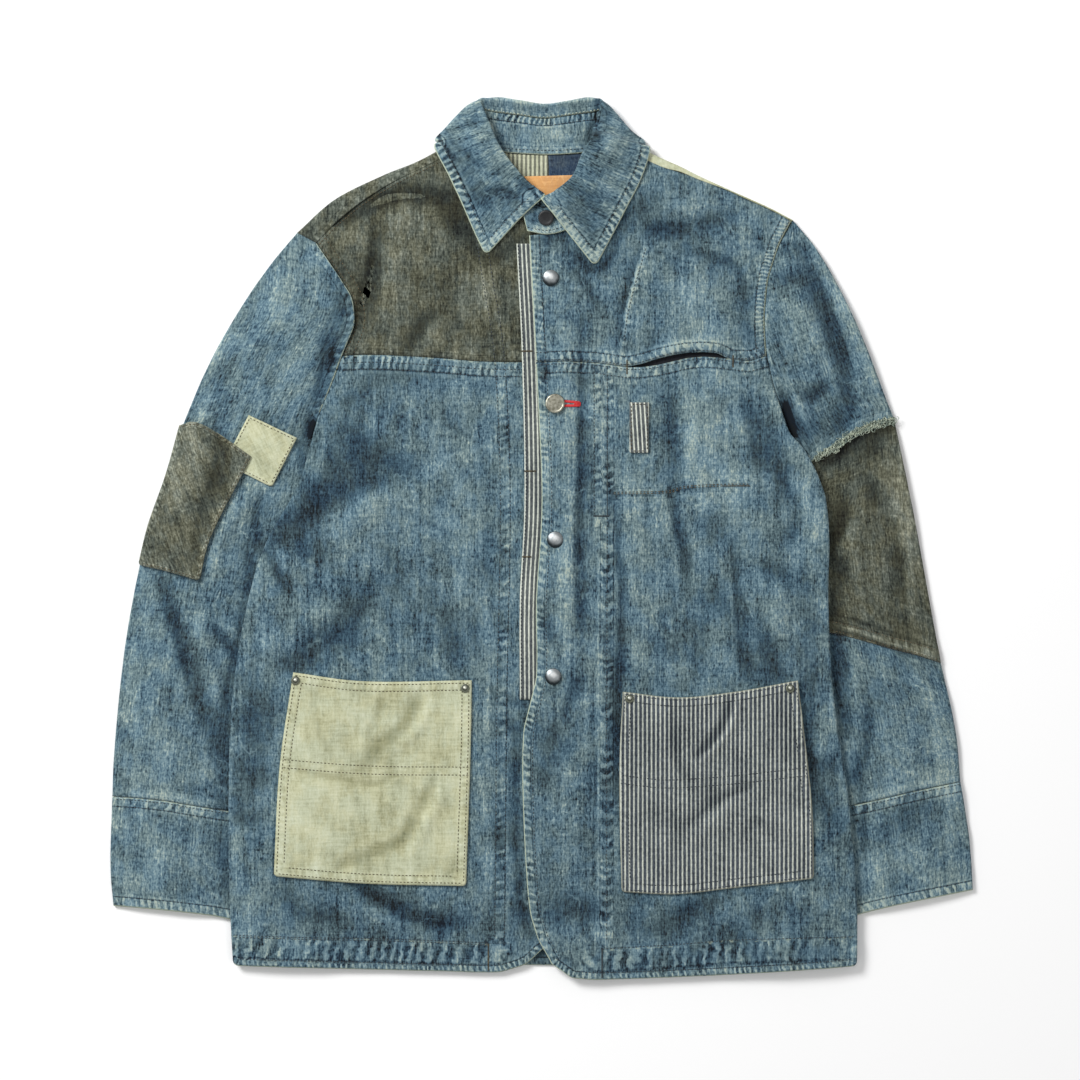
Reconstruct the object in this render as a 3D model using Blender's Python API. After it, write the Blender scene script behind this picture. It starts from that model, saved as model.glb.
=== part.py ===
"""Patched denim work jacket, laid flat on its back with the collar buttoned.

The jacket lies on the surface z = 0, +Y towards the collar and +X towards the wearer's left.
Every cut piece of cloth is one closed wall between an inner and an outer grid of points.
Plan sizes below are in millimetres and become metres where a mesh is made.
"""
import math
from collections import namedtuple

import bmesh
import bpy
from mathutils import Vector

MM = 0.001                 # one millimetre in metres
WALL = 1.2                 # thickness of the denim
THIN = 1.0                 # thickness of pockets, patches and facing
GAP = 0.4                  # air between two layers that lie on each other
SEAM = 0.2                 # how far each piece stays back from a seam line
SLEEVE_STACK = 3.5         # height of a flat sleeve, which the body's sides lie over
LOFT = 1.6                 # how softly a front stands off the layer below it
SOFT_REACH = 32.0          # distance from a seam over which the loft comes in
PLACKET_RISE = 1.8         # extra height of the left front where it laps the right one
LIFT_REACH = 28.0          # how far beyond the sleeve the body stays lifted
LIFT_RAMP = 62.0           # length of the slope down from there
HEM = -374.0               # hem of the back

# ---------------------------------------------------------------- sections across the body
Girth = namedtuple("Girth", "y right_side left_side right_sleeve left_sleeve")
GIRTHS = (
    Girth(-374, -270, 276, -246, 246),
    Girth(-316, -273, 276, -242, 243),
    Girth(-229, -274, 269, -233, 235),
    Girth(-141, -271, 256, -223, 217),
    Girth(-54, -257, 251, -211, 205),
    Girth(0, -240, 252, -207, 206),
    Girth(44, -214, 247, -204, 209),
    Girth(80, -203, 229, -203, 228),
)
Armhole = namedtuple("Armhole", "right_x right_y left_x left_y")
ARMHOLES = (                # from the armpit to the tip of the shoulder
    Armhole(-203, 80, 229, 80),
    Armhole(-196, 106, 217, 92),
    Armhole(-184, 135, 204, 131),
    Armhole(-175, 160, 197, 160),
    Armhole(-163, 187, 195, 193),
    Armhole(-165, 211, 198, 226),
    Armhole(-182, 237, 208, 258),
    Armhole(-197, 259, 217, 274),
    Armhole(-214, 268, 220, 279),
)
YOKE_ROW = 3                # the armhole section that the yoke seams start from
SEAM_ROW = 7                # the armhole section that the shoulder seams start from
SLEEVE_COLS = 6             # stretches across a sleeve
NECK_HALF = 56              # beyond this the stand lies over the fronts, not the back
Shoulder = namedtuple("Shoulder", "fold_x fold_y seam_x seam_y")
RIGHT_SHOULDER = (
    Shoulder(-214, 268, -197, 259),
    Shoulder(-181, 297, -172, 284),
    Shoulder(-139, 318, -139, 307),
    Shoulder(-105, 332, -103, 325),
    Shoulder(-61, 357, -59, 347),
)
LEFT_SHOULDER = (
    Shoulder(220, 279, 217, 274),
    Shoulder(199, 290, 198, 286),
    Shoulder(170, 303, 169, 299),
    Shoulder(139, 317, 138, 314),
    Shoulder(122, 325.5, 121, 321),
    Shoulder(104, 333.5, 103, 326),
    Shoulder(63, 353, 62, 346),
)
RIGHT_NECK = ((27, 265), (-10, 265), (-29, 273), (-49, 294), (-59, 322), (-59, 347))
LEFT_NECK = ((-11, 265), (7, 266), (29, 273), (51, 296), (62, 322), (62, 346))
BACK_NECK = ((-59, 347), (-35, 338), (5, 336), (43, 338), (62, 346))
RIGHT_YOKE_SEAM = ((-175, 160), (-147, 161), (-88, 158), (-52, 155), (27, 154))
LEFT_YOKE_SEAM = ((-5, 154), (35, 155), (75, 150))
LEFT_YOKE_END = ((167, 157), (180, 155), (197, 160))
SLIT_UPPER = ((75, 150), (91, 153.5), (110, 160), (133, 164.5), (156, 162), (167, 157))
SLIT_LOWER = ((75, 150), (93, 150.5), (110, 154), (133, 159), (156, 158.5), (167, 157))
RIGHT_EDGE = ((6, -361), (19, -343), (25, -316), (27, -230), (27, 154))
RIGHT_HEM = ((-270, -374), (-168, -377), (-89, -379), (-36, -380), (-13, -373), (6, -361))
LEFT_EDGE = ((1, -371), (-11, -347), (-17, -316), (-20, -250), (-17, -168), (-5, -124),
             (-5, -54), (0, 34), (-5, 154))
LEFT_HEM = ((1, -371), (13, -380), (29, -385), (70, -385), (165, -380), (231, -375), (276, -371))

# ---------------------------------------------------------------- sections down the sleeves
Sleeve = namedtuple("Sleeve", "outer_x outer_y inner_x inner_y")
RIGHT_CAP = ((-214, 268), (-248, 226), (-290, 156), (-322, 80))     # outer edge beside the armhole
LEFT_CAP = ((220, 279), (245, 248), (277, 186), (305, 114))
RIGHT_SLEEVE = (            # from the armpit down
    Sleeve(-322, 80, -203, 80),
    Sleeve(-336, 34, -204, 30),
    Sleeve(-347, 0, -207, -12),
    Sleeve(-364, -88, -219, -113),
    Sleeve(-374, -180, -230, -200),
    Sleeve(-376, -226, -235, -242),
)
RIGHT_CUFF = (Sleeve(-376, -226, -235, -242), Sleeve(-378, -286, -240, -292), Sleeve(-375, -322, -245, -340))
LEFT_UPPER = (Sleeve(305, 114, 229, 80), Sleeve(309, 105, 221, 68))
LEFT_PANEL = (Sleeve(309, 105, 221, 68), Sleeve(327, 17, 206, 6), Sleeve(341, -60, 205, -40),
              Sleeve(350, -109, 209, -80))
LEFT_LOWER = (Sleeve(350, -109, 209, -80), Sleeve(363, -168, 222, -160), Sleeve(367, -213, 236, -240))
LEFT_CUFF = (Sleeve(367, -213, 236, -240), Sleeve(375, -262, 242, -288), Sleeve(378, -308, 245, -339))
FRAY_LINE = ((309, 105), (292, 102), (276, 95), (260, 83), (240, 77), (221, 68))
PANEL_LINE = ((350, -109), (336, -104), (304, -96), (252, -82), (209, -80))
RIGHT_CUFF_SEAM = ((-376, -226), (-334, -229), (-275, -239), (-235, -242))
LEFT_CUFF_SEAM = ((367, -213), (328, -221), (277, -233), (236, -240))
RIGHT_CUFF_END = ((-375, -322), (-336, -325), (-286, -331), (-245, -340))
LEFT_CUFF_END = ((378, -308), (347, -314), (299, -324), (245, -339))

# ---------------------------------------------------------------- folds in the top layer
Fold = namedtuple("Fold", "x0 y0 x1 y1 half_width rise")
FOLDS = (
    Fold(-138, 67, -230, 0, 26, -1.3),        # right front, from the chest to the side
    Fold(-150, -62, -205, -88, 24, -1.2),     # right front, above the pocket
    Fold(-205, 60, -228, -40, 22, 1.6),       # bulge below the right armpit
    Fold(-120, 40, -100, -70, 34, 1.3),       # right front, soft ridge
    Fold(120, 20, 160, -60, 34, 1.4),         # left front, soft ridge
    Fold(200, 60, 205, -60, 24, 1.4),         # bulge below the left armpit
    Fold(-328, -52, -277, -186, 22, 2.6),     # ridge down the right sleeve
    Fold(-292, -72, -262, -112, 16, -1.2),    # dent at the right elbow
    Fold(-275, 190, -240, 110, 26, 2.0),      # upper right sleeve
    Fold(248, 215, 283, 120, 16, -1.2),       # long valley down the upper left sleeve
    Fold(230, 225, 262, 120, 18, 2.2),        # ridge beside it
    Fold(268, 45, 300, -40, 26, 2.4),         # left elbow
    Fold(290, -130, 325, -200, 24, 2.0),      # lower left sleeve
)

# ---------------------------------------------------------------- collar sections
# Heights of the roll and the side are above the front under them, or above z = 0 where the
# edge is tucked under the back.
Collar = namedtuple("Collar", "neck_x neck_y roll_x roll_y roll_z side_x side_y side_z edge_x edge_y tucked")
COLLAR = (
    Collar(-8, 266, -2, 303, 8.0, -24, 282, 7.0, -49, 252, False),
    Collar(-24, 271, -12, 314, 8.0, -36, 293, 7.5, -58, 266, False),
    Collar(-42, 285, -26, 327, 8.5, -50, 309, 8.0, -68, 289, False),
    Collar(-55, 307, -36, 341, 9.5, -62, 327, 8.5, -80, 315, False),
    Collar(-59, 328, -43, 355, 10.5, -74, 347, 8.0, -93.5, 341.5, False),
    Collar(-59, 338, -46, 362, 14.5, -91, 349, 5.0, -88, 345, True),
    Collar(-58, 347, -49, 369, 14.0, -82.5, 359.5, 7.5, -76, 334, True),
    Collar(-52, 344, -53, 383, 12.0, -64, 378.5, 7.0, -60, 326, True),
    Collar(-38, 339, -40, 382.5, 9.5, -41, 385, 5.0, -42, 318, True),
    Collar(-18, 337, -20, 380, 8.5, -20, 382.5, 4.6, -21, 314, True),
    Collar(5, 336, 2, 377, 8.0, 2, 379.5, 4.4, 2, 312, True),
    Collar(27, 337, 24, 380, 8.5, 24, 382.5, 4.6, 25, 314, True),
    Collar(45, 339, 43, 382.5, 9.5, 44, 385, 5.0, 46, 318, True),
    Collar(55, 343, 53, 383, 12.0, 61.5, 379, 7.0, 64, 326, True),
    Collar(62, 347, 50, 367, 14.0, 79.5, 359.5, 7.5, 79, 335, True),
    Collar(62, 337, 47, 359, 14.5, 91.5, 348.5, 5.0, 91, 344, True),
    Collar(62, 328, 45, 351, 10.5, 77, 343, 8.0, 95, 339, False),
    Collar(58, 309, 36, 335, 9.5, 66, 322, 8.5, 87, 314, False),
    Collar(46, 290, 24, 316, 8.5, 53, 300, 8.0, 76, 292, False),
    Collar(28, 273, 11, 305, 8.0, 37, 281, 7.5, 63, 267, False),
    Collar(9, 266, 0, 299, 8.0, 22, 272, 7.0, 48, 244, False),
)
STAND_SHARE = 0.78          # part of the way from neckline to roll that the stand covers
STAND_DROP = 4.0            # how far the stand's top lies under the roll
BULGE = 1.6                 # how far the fall rounds up between its roll and its side
SEAM_SHARE = 0.16           # part of the way from seam to roll where the fall begins
TAB = ((-10, 267, 9.0), (-13.5, 283, 12.0))    # end of the stand's left end, low and high corner

# ---------------------------------------------------------------- what lies on the panels
POCKET_RIGHT = ((-234, -295), (-66, -305), (-61, -124), (-217, -117))
POCKET_LEFT = ((70, -309), (238, -298), (224, -124), (71, -134))
CHEST_TAB = ((77, 75), (94, 75), (94, 119), (77, 119))
SMALL_PATCH = ((-278, 66), (-236, 45), (-214, 88), (-256, 108))
ELBOW_PATCH = ((-353, -24), (-299, -37), (-254, 72), (-316, 101))
BAG = ((68, 36), (184, 42), (180, 148), (72, 141))
LABEL = ((-15, 286), (45, 286), (45, 318), (-15, 317))
SNAPS = (("snap_top", 8, 230), ("snap_middle", 11, -1), ("snap_low", 8, -121))
SHANK_AT = (13, 118)
COLLAR_BUTTON_AT = (3, 277, 12.6)
COLLAR_TILT = math.radians(13)
RIVETS = (("rivet_right_outer", -215, -124), ("rivet_right_inner", -67, -131),
          ("rivet_left_inner", 77, -140), ("rivet_left_outer", 217, -131))

# ---------------------------------------------------------------- colours (linear) and finish
BLUE = (0.095, 0.165, 0.205)
OLIVE = (0.098, 0.101, 0.078)
OFF_WHITE = (0.490, 0.510, 0.350)
HICKORY = (0.190, 0.215, 0.215)
INDIGO = (0.045, 0.080, 0.115)
TAN = (0.700, 0.330, 0.120)
PEWTER = (0.320, 0.310, 0.290)
DARK = (0.030, 0.035, 0.040)


# ================================================================ small helpers
def between(low, high, value):
    """Smooth step from 0 at low to 1 at high."""
    t = min(max((value - low) / (high - low), 0.0), 1.0)
    return t * t * (3 - 2 * t)


def along(points, count):
    """Smooth curve through the points, as count + 1 points equally far apart."""
    points = [Vector(p[:2]) for p in points]
    padded = [2 * points[0] - points[1]] + points + [2 * points[-1] - points[-2]]
    fine = []
    for a, b, c, d in zip(padded, padded[1:], padded[2:], padded[3:]):
        for step in range(16):
            t = step / 16
            fine.append(0.5 * (2 * b + (c - a) * t + (2 * a - 5 * b + 4 * c - d) * t * t
                               + (3 * b - a - 3 * c + d) * t ** 3))
    fine.append(points[-1])
    lengths = [0.0]
    for a, b in zip(fine, fine[1:]):
        lengths.append(lengths[-1] + (b - a).length)
    result, at = [], 0
    for k in range(count + 1):
        goal = lengths[-1] * k / count
        while at < len(fine) - 2 and lengths[at + 1] < goal:
            at += 1
        share = (goal - lengths[at]) / max(lengths[at + 1] - lengths[at], 1e-9)
        result.append(fine[at].lerp(fine[at + 1], min(max(share, 0.0), 1.0)))
    return result


def joined(*curves):
    """Curves end to end, each shared point once."""
    result = list(curves[0])
    for curve in curves[1:]:
        result += curve[1:]
    return result


def at_height(rows, name, y):
    """Value of a column of the girth table at height y."""
    rows = sorted(rows, key=lambda row: row.y)
    if y <= rows[0].y:
        return getattr(rows[0], name)
    for low, high in zip(rows, rows[1:]):
        if y <= high.y:
            share = (y - low.y) / (high.y - low.y)
            return getattr(low, name) * (1 - share) + getattr(high, name) * share
    return getattr(rows[-1], name)


def distance(x, y, curve):
    """Plan distance from a point to a curve."""
    point, best = Vector((x, y)), 1e9
    for a, b in zip(curve, curve[1:]):
        side = b - a
        share = min(max((point - a).dot(side) / side.length_squared, 0.0), 1.0)
        best = min(best, (point - a - share * side).length)
    return best


def patch(south, north, west, east):
    """Grid of plan points filled in between four edges, kept back from its seams."""
    rows, cols = len(west), len(south)
    grid = []
    for i in range(rows):
        v = i / (rows - 1)
        row = []
        for j in range(cols):
            u = j / (cols - 1)
            row.append((1 - v) * south[j] + v * north[j] + (1 - u) * west[i] + u * east[i]
                       - (1 - u) * (1 - v) * south[0] - u * (1 - v) * south[-1]
                       - (1 - u) * v * north[0] - u * v * north[-1])
        grid.append(row)
    return kept_back(grid)


def kept_back(grid):
    """Move the border of a grid inwards by SEAM, square to each edge."""
    rows, cols = len(grid), len(grid[0])
    moved = [[point.copy() for point in row] for row in grid]
    borders = [([(edge, j) for j in range(cols)], (inner - edge, 0))
               for edge, inner in ((0, 1), (rows - 1, rows - 2))]
    borders += [([(i, edge) for i in range(rows)], (0, inner - edge))
                for edge, inner in ((0, 1), (cols - 1, cols - 2))]
    for border, (down, aside) in borders:
        for k, (i, j) in enumerate(border):
            before, after = border[max(k - 1, 0)], border[min(k + 1, len(border) - 1)]
            run = grid[after[0]][after[1]] - grid[before[0]][before[1]]
            square = Vector((-run.y, run.x)).normalized()
            inward = grid[i + 2 * down][j + 2 * aside] - grid[i][j]
            moved[i][j] += SEAM * square * (1 if square.dot(inward) > 0 else -1)
    return moved


def quad(corners, cols, rows):
    """Plan grid over four corners: south-west, south-east, north-east, north-west."""
    sw, se, ne, nw = [Vector(c) for c in corners]
    return [[sw.lerp(se, j / cols).lerp(nw.lerp(ne, j / cols), i / rows) for j in range(cols + 1)]
            for i in range(rows + 1)]


# ================================================================ edges that several pieces share
ARM = {
    "right": [Vector((a.right_x, a.right_y)) for a in ARMHOLES],
    "left": [Vector((a.left_x, a.left_y)) for a in ARMHOLES],
}
SIDE = {
    "right": along([(g.right_side, g.y) for g in GIRTHS], 20),
    "left": along([(g.left_side, g.y) for g in GIRTHS], 20),
}
FOLD_LINE = {
    "right": along([(s.fold_x, s.fold_y) for s in RIGHT_SHOULDER], 7),
    "left": along([(s.fold_x, s.fold_y) for s in LEFT_SHOULDER], 7),
}
SEAM_LINE = {
    "right": along([(s.seam_x, s.seam_y) for s in RIGHT_SHOULDER], 7),
    "left": along([(s.seam_x, s.seam_y) for s in LEFT_SHOULDER], 7),
}
SLEEVE_OUT = {
    "right": along(RIGHT_CAP + tuple((s.outer_x, s.outer_y) for s in RIGHT_SLEEVE[1:] + RIGHT_CUFF[1:]), 30),
    "left": along(LEFT_CAP + tuple((s.outer_x, s.outer_y)
                                   for s in LEFT_PANEL + LEFT_LOWER[1:] + LEFT_CUFF[1:]), 30),
}


# ================================================================ heights of the layers
def folds_at(x, y):
    """Sum of the folds at a plan point."""
    total = 0.0
    for fold in FOLDS:
        a, side = Vector((fold.x0, fold.y0)), Vector((fold.x1 - fold.x0, fold.y1 - fold.y0))
        share = (Vector((x, y)) - a).dot(side) / side.length_squared
        off = (Vector((x, y)) - a - min(max(share, 0.0), 1.0) * side).length
        total += fold.rise * (1 - between(0, fold.half_width, off))
    return total


def over_sleeve(x, y):
    """1 where the body lies over a sleeve and just beyond it, falling to 0 towards the middle."""
    name = "right_sleeve" if x < 0 else "left_sleeve"
    past = abs(x) - (abs(at_height(GIRTHS, name, y)) - LIFT_REACH - LIFT_RAMP)
    return between(0, LIFT_RAMP, past) * (1 - between(84, 128, y))


def over_collar(x, y):
    """1 where the back lies over the collar's fall, falling to 0 further down."""
    across, up = (x - 2) / 112, (y - 352) / 56
    return 1 - between(1.0, 1.9, math.hypot(across, up))


def back_z(x, y):
    """Underside of the back."""
    return SLEEVE_STACK * max(over_sleeve(x, y), 0.75 * over_collar(x, y))


def softness(x, y, side):
    """0 at the seams round a front, 1 well inside it."""
    near = min(distance(x, y, seam[side]) for seam in (SIDE, ARM, FOLD_LINE))
    return between(0, SOFT_REACH, near)


def right_z(x, y):
    """Underside of the right front."""
    return back_z(x, y) + WALL + GAP + softness(x, y, "right") * max(LOFT + folds_at(x, y), 0)


def strip_z(x, y):
    """Underside of the hickory strip on the right front."""
    return right_z(x, y) + WALL + GAP


def left_z(x, y):
    """Underside of the left front, which laps the strip and covers the pocket bag."""
    lap = THIN + 2 * GAP + PLACKET_RISE * (1 - between(34, 78, x))
    return back_z(x, y) + WALL + GAP + lap + softness(x, y, "left") * max(LOFT + folds_at(x, y), 0)


def covered(x, y, side):
    """1 where a sleeve lies under the body, falling to 0 outside it."""
    sign = -1 if side == "right" else 1
    inside = sign * at_height(GIRTHS, side + "_side", y) - sign * x
    return between(-40, -12, inside) * (1 - between(80, 96, y))


def sleeve_z(x, y, side):
    """Underside of the front of a sleeve."""
    soft = between(0, SOFT_REACH, distance(x, y, SLEEVE_OUT[side]))
    loft = soft * (1 - covered(x, y, side)) * max(LOFT + 1.2 + folds_at(x, y), 0)
    return WALL + GAP + loft


# ================================================================ making solids
def finish(name, bm, colour, roughness=0.9, metallic=0.0):
    """Turn a mesh into a named object with its own material."""
    bmesh.ops.recalc_face_normals(bm, faces=bm.faces)
    if bm.calc_volume(signed=True) < 0:
        bmesh.ops.reverse_faces(bm, faces=bm.faces)
    mesh = bpy.data.meshes.new(name)
    bm.to_mesh(mesh)
    bm.free()
    material = bpy.data.materials.new(name)
    material.use_nodes = True
    shader = material.node_tree.nodes["Principled BSDF"]
    shader.inputs["Base Color"].default_value = (*colour, 1)
    shader.inputs["Roughness"].default_value = roughness
    shader.inputs["Metallic"].default_value = metallic
    mesh.materials.append(material)
    made = bpy.data.objects.new(name, mesh)
    bpy.context.scene.collection.objects.link(made)
    return made


def cloth(name, inner, outer, colour):
    """Closed wall of cloth between two grids of points in millimetres."""
    rows, cols = len(inner), len(inner[0])
    bm = bmesh.new()
    bmesh.ops.create_grid(bm, x_segments=cols - 1, y_segments=rows - 1, size=1)
    bm.verts.ensure_lookup_table()
    under = list(bm.verts)
    made = bmesh.ops.extrude_face_region(bm, geom=bm.faces[:], use_keep_orig=True)["geom"]
    over = [item for item in made if isinstance(item, bmesh.types.BMVert)]
    matching = {vert.co.copy().freeze(): vert for vert in over}
    for k, vert in enumerate(under):
        upper = matching[vert.co.copy().freeze()]
        vert.co = MM * inner[k // cols][k % cols]
        upper.co = MM * outer[k // cols][k % cols]
    return finish(name, bm, colour)


def panel(name, grid, height, colour, wall=WALL):
    """Wall of cloth over a plan grid, its underside at height(x, y)."""
    inner = [[Vector((p.x, p.y, height(p.x, p.y))) for p in row] for row in grid]
    outer = [[p + Vector((0, 0, wall)) for p in row] for row in inner]
    return cloth(name, inner, outer, colour)


def sheet(name, grid, colour, wall=WALL):
    """Wall of cloth round a grid of points in space, half to each side."""
    rows, cols = len(grid), len(grid[0])
    inner, outer = [], []
    for i in range(rows):
        low, high = [], []
        for j in range(cols):
            up = grid[min(i + 1, rows - 1)][j] - grid[max(i - 1, 0)][j]
            across = grid[i][min(j + 1, cols - 1)] - grid[i][max(j - 1, 0)]
            out = across.cross(up).normalized() * wall / 2
            low.append(grid[i][j] - out)
            high.append(grid[i][j] + out)
        inner.append(low)
        outer.append(high)
    return cloth(name, inner, outer, colour)


def turned(name, x, y, z, profile, colour, metallic):
    """Round piece: profile rows are (radius, height), from the axis round to the axis."""
    bm = bmesh.new()
    verts = [bm.verts.new((MM * radius, 0, MM * height)) for radius, height in profile]
    edges = [bm.edges.new(pair) for pair in zip(verts, verts[1:])]
    bmesh.ops.spin(bm, geom=verts + edges, cent=(0, 0, 0), axis=(0, 0, 1), angle=math.tau, steps=20,
                   use_merge=True)
    bmesh.ops.remove_doubles(bm, verts=bm.verts, dist=1e-6)
    made = finish(name, bm, colour, 0.35 if metallic else 0.5, metallic)
    made.location = (MM * x, MM * y, MM * z)
    return made


# ================================================================ the pieces
def make_back():
    """Back below the yoke, back yoke with its folded shoulders, and the inside of the neck."""
    arm_r, arm_l = ARM["right"], ARM["left"]
    hem = along(((-270, HEM), (276, HEM)), 18)
    yoke = along((arm_r[YOKE_ROW], arm_l[YOKE_ROW]), 18)
    panel("back_panel", patch(hem, yoke, joined(SIDE["right"], arm_r[:YOKE_ROW + 1]),
                              joined(SIDE["left"], arm_l[:YOKE_ROW + 1])), back_z, BLUE)
    wrapped_yoke("right", -37)
    wrapped_yoke("left", 45)
    seam_y = arm_r[YOKE_ROW].y
    neck = along(BACK_NECK, 8)
    foot = Vector((5, seam_y))
    for name, foot_a, foot_b, top, colour in (
            ("back_neck_stripe", Vector((-37, seam_y)), foot, neck[:5], HICKORY),
            ("back_neck_dark", foot, Vector((45, seam_y)), neck[4:], INDIGO)):
        panel(name, patch(along((foot_a, foot_b), 4), top, along((foot_a, top[0]), 10),
                          along((foot_b, top[-1]), 10)), back_z, colour)
    panel("neck_label", quad(LABEL, 3, 3), lambda x, y: back_z(x, y) + WALL + GAP, TAN, THIN)


def wrapped_yoke(side, cut):
    """Side of the back yoke, whose top folds over the shoulder to the seam in front."""
    sign = -1 if side == "right" else 1
    top_z = right_z if side == "right" else left_z
    arm = ARM[side]
    fold = FOLD_LINE[side]
    seam = SEAM_LINE[side]
    foot = along((arm[YOKE_ROW], (cut, arm[YOKE_ROW].y)), 7)
    start = arm[YOKE_ROW:]
    end = along((foot[-1], fold[-1]), len(start) - 1)
    flat = patch(foot, fold, start, end)
    inner = [[Vector((p.x, p.y, back_z(p.x, p.y) + WALL)) for p in row] for row in flat]
    outer = [[p - Vector((0, 0, WALL)) for p in row] for row in inner]
    last = len(fold) - 1
    back_row, out_row, in_row, front_row = [], [], [], []
    for j in range(last + 1):
        slide = (fold[min(j + 1, last)] - fold[max(j - 1, 0)]).normalized()
        out = Vector((-slide.y, slide.x)) * sign * -1
        inset = fold[j] - WALL * out
        shift = SEAM * slide * ((j == 0) - (j == last))
        ground = back_z(inset.x, inset.y)
        level = top_z(seam[j].x, seam[j].y)
        middle = 0.5 * (ground + WALL + level)
        back_row.append((inset + shift, ground + WALL, Vector((0, 0, -WALL))))
        out_row.append((inset + shift, middle, WALL * out.to_3d()))
        edge = seam[j] + shift + SEAM * (fold[j] - seam[j]).normalized()
        near = inset.lerp(edge, 0.45)
        in_row.append((near + shift, level * 0.97, Vector((0, 0, WALL))))
        front_row.append((edge, level, Vector((0, 0, WALL))))
    inner[-1] = [Vector((p.x, p.y, z)) for p, z, _ in back_row]
    outer[-1] = [Vector((p.x, p.y, z)) + o for p, z, o in back_row]
    for row in (out_row, in_row, front_row):
        inner.append([Vector((p.x, p.y, z)) for p, z, _ in row])
        outer.append([Vector((p.x, p.y, z)) + o for p, z, o in row])
    colour = OLIVE if side == "right" else OFF_WHITE
    cloth("back_yoke_" + side, inner, outer, colour)


def make_fronts():
    """Two fronts with their yokes, the strip along the right edge and the chest pocket bag."""
    arm, low = ARM["right"], along(RIGHT_YOKE_SEAM, 12)
    panel("front_right", patch(along(RIGHT_HEM, 12), low, joined(SIDE["right"], arm[:YOKE_ROW + 1]),
                               along(RIGHT_EDGE, 23)), right_z, BLUE)
    neck = along(RIGHT_NECK, 5)[::-1]
    panel("front_right_yoke", patch(low, joined(SEAM_LINE["right"], neck), arm[YOKE_ROW:SEAM_ROW + 1],
                                    along(((27, 154), (27, 265)), SEAM_ROW - YOKE_ROW)), right_z, OLIVE)
    edge = [Vector((x, y)) for x, y in ((-22, 258), (-17, 154), (-15, 34), (-19, -54), (-19, -141))]
    far = [Vector((p.x + 30, p.y)) for p in edge]
    columns = [edge, [a.lerp(b, 0.5) for a, b in zip(edge, far)], far]
    rows = [along(column[::-1], 16) for column in columns]
    panel("stripe_facing", [[row[i] for row in rows] for i in range(17)], strip_z, HICKORY, THIN)
    arm = ARM["left"]
    start, end = along(LEFT_YOKE_SEAM, 3), along(LEFT_YOKE_END, 2)
    lower = joined(start, along(SLIT_LOWER, 7), end)
    upper = joined(start, along(SLIT_UPPER, 7), end)
    panel("front_left", patch(along(LEFT_HEM, 12), lower, along(LEFT_EDGE, 23),
                              joined(SIDE["left"], arm[:YOKE_ROW + 1])), left_z, BLUE)
    neck = along(LEFT_NECK, 5)
    panel("front_left_yoke", patch(upper, joined(neck, SEAM_LINE["left"][::-1]),
                                   along(((-5, 154), (-11, 265)), SEAM_ROW - YOKE_ROW),
                                   arm[YOKE_ROW:SEAM_ROW + 1]), left_z, BLUE)
    panel("chest_pocket_bag", quad(BAG, 6, 5), lambda x, y: back_z(x, y) + WALL + 2 * GAP, INDIGO, THIN)


def make_sleeve(side, stretches):
    """Front and back of each stretch of a sleeve; the first one starts with the cap."""
    cap = {"right": RIGHT_CAP, "left": LEFT_CAP}[side]
    cap_outer, cap_inner = along(cap, SEAM_ROW), ARM[side][SEAM_ROW::-1]
    top = along((cap_outer[0], cap_inner[0]), SLEEVE_COLS)
    for name, table, bottom, rows, colour in stretches:
        outer = along([(s.outer_x, s.outer_y) for s in table], rows)
        inner = along([(s.inner_x, s.inner_y) for s in table], rows)
        if cap_outer:
            outer, inner, cap_outer = joined(cap_outer, outer), joined(cap_inner, inner), None
        low = along(bottom, SLEEVE_COLS)
        edges = (top, low, outer, inner) if side == "right" else (top[::-1], low[::-1], inner, outer)
        grid = patch(*edges)
        panel(name + "_back", grid, lambda x, y: 0.0, colour)
        panel(name + "_front", grid, lambda x, y: sleeve_z(x, y, side), colour)
        top = low


def make_sleeves():
    """Both sleeves with their cuffs, patches and the frayed hem."""
    make_sleeve("right", (
        ("sleeve_right", RIGHT_SLEEVE, RIGHT_CUFF_SEAM, 12, BLUE),
        ("cuff_right", RIGHT_CUFF, RIGHT_CUFF_END, 4, BLUE)))
    make_sleeve("left", (
        ("sleeve_left_upper", LEFT_UPPER, FRAY_LINE, 1, BLUE),
        ("sleeve_left_panel", LEFT_PANEL, PANEL_LINE, 8, OLIVE),
        ("sleeve_left_lower", LEFT_LOWER, LEFT_CUFF_SEAM, 5, BLUE),
        ("cuff_left", LEFT_CUFF, LEFT_CUFF_END, 4, BLUE)))

    def on_sleeve(x, y):
        return sleeve_z(x, y, "right") + WALL + 2 * GAP
    panel("small_patch", quad(SMALL_PATCH, 4, 4), on_sleeve, OFF_WHITE, THIN)
    panel("elbow_patch", quad(ELBOW_PATCH, 6, 8), lambda x, y: on_sleeve(x, y) + THIN + GAP, OLIVE, THIN)
    hem = along(((307, 101), (276, 91), (260, 79), (243, 74)), 5)
    fringe = [[p + Vector((3, -9)) for p in hem], hem]
    panel("sleeve_left_fray", fringe, lambda x, y: sleeve_z(x, y, "left") + WALL + GAP, OFF_WHITE, THIN)


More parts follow.
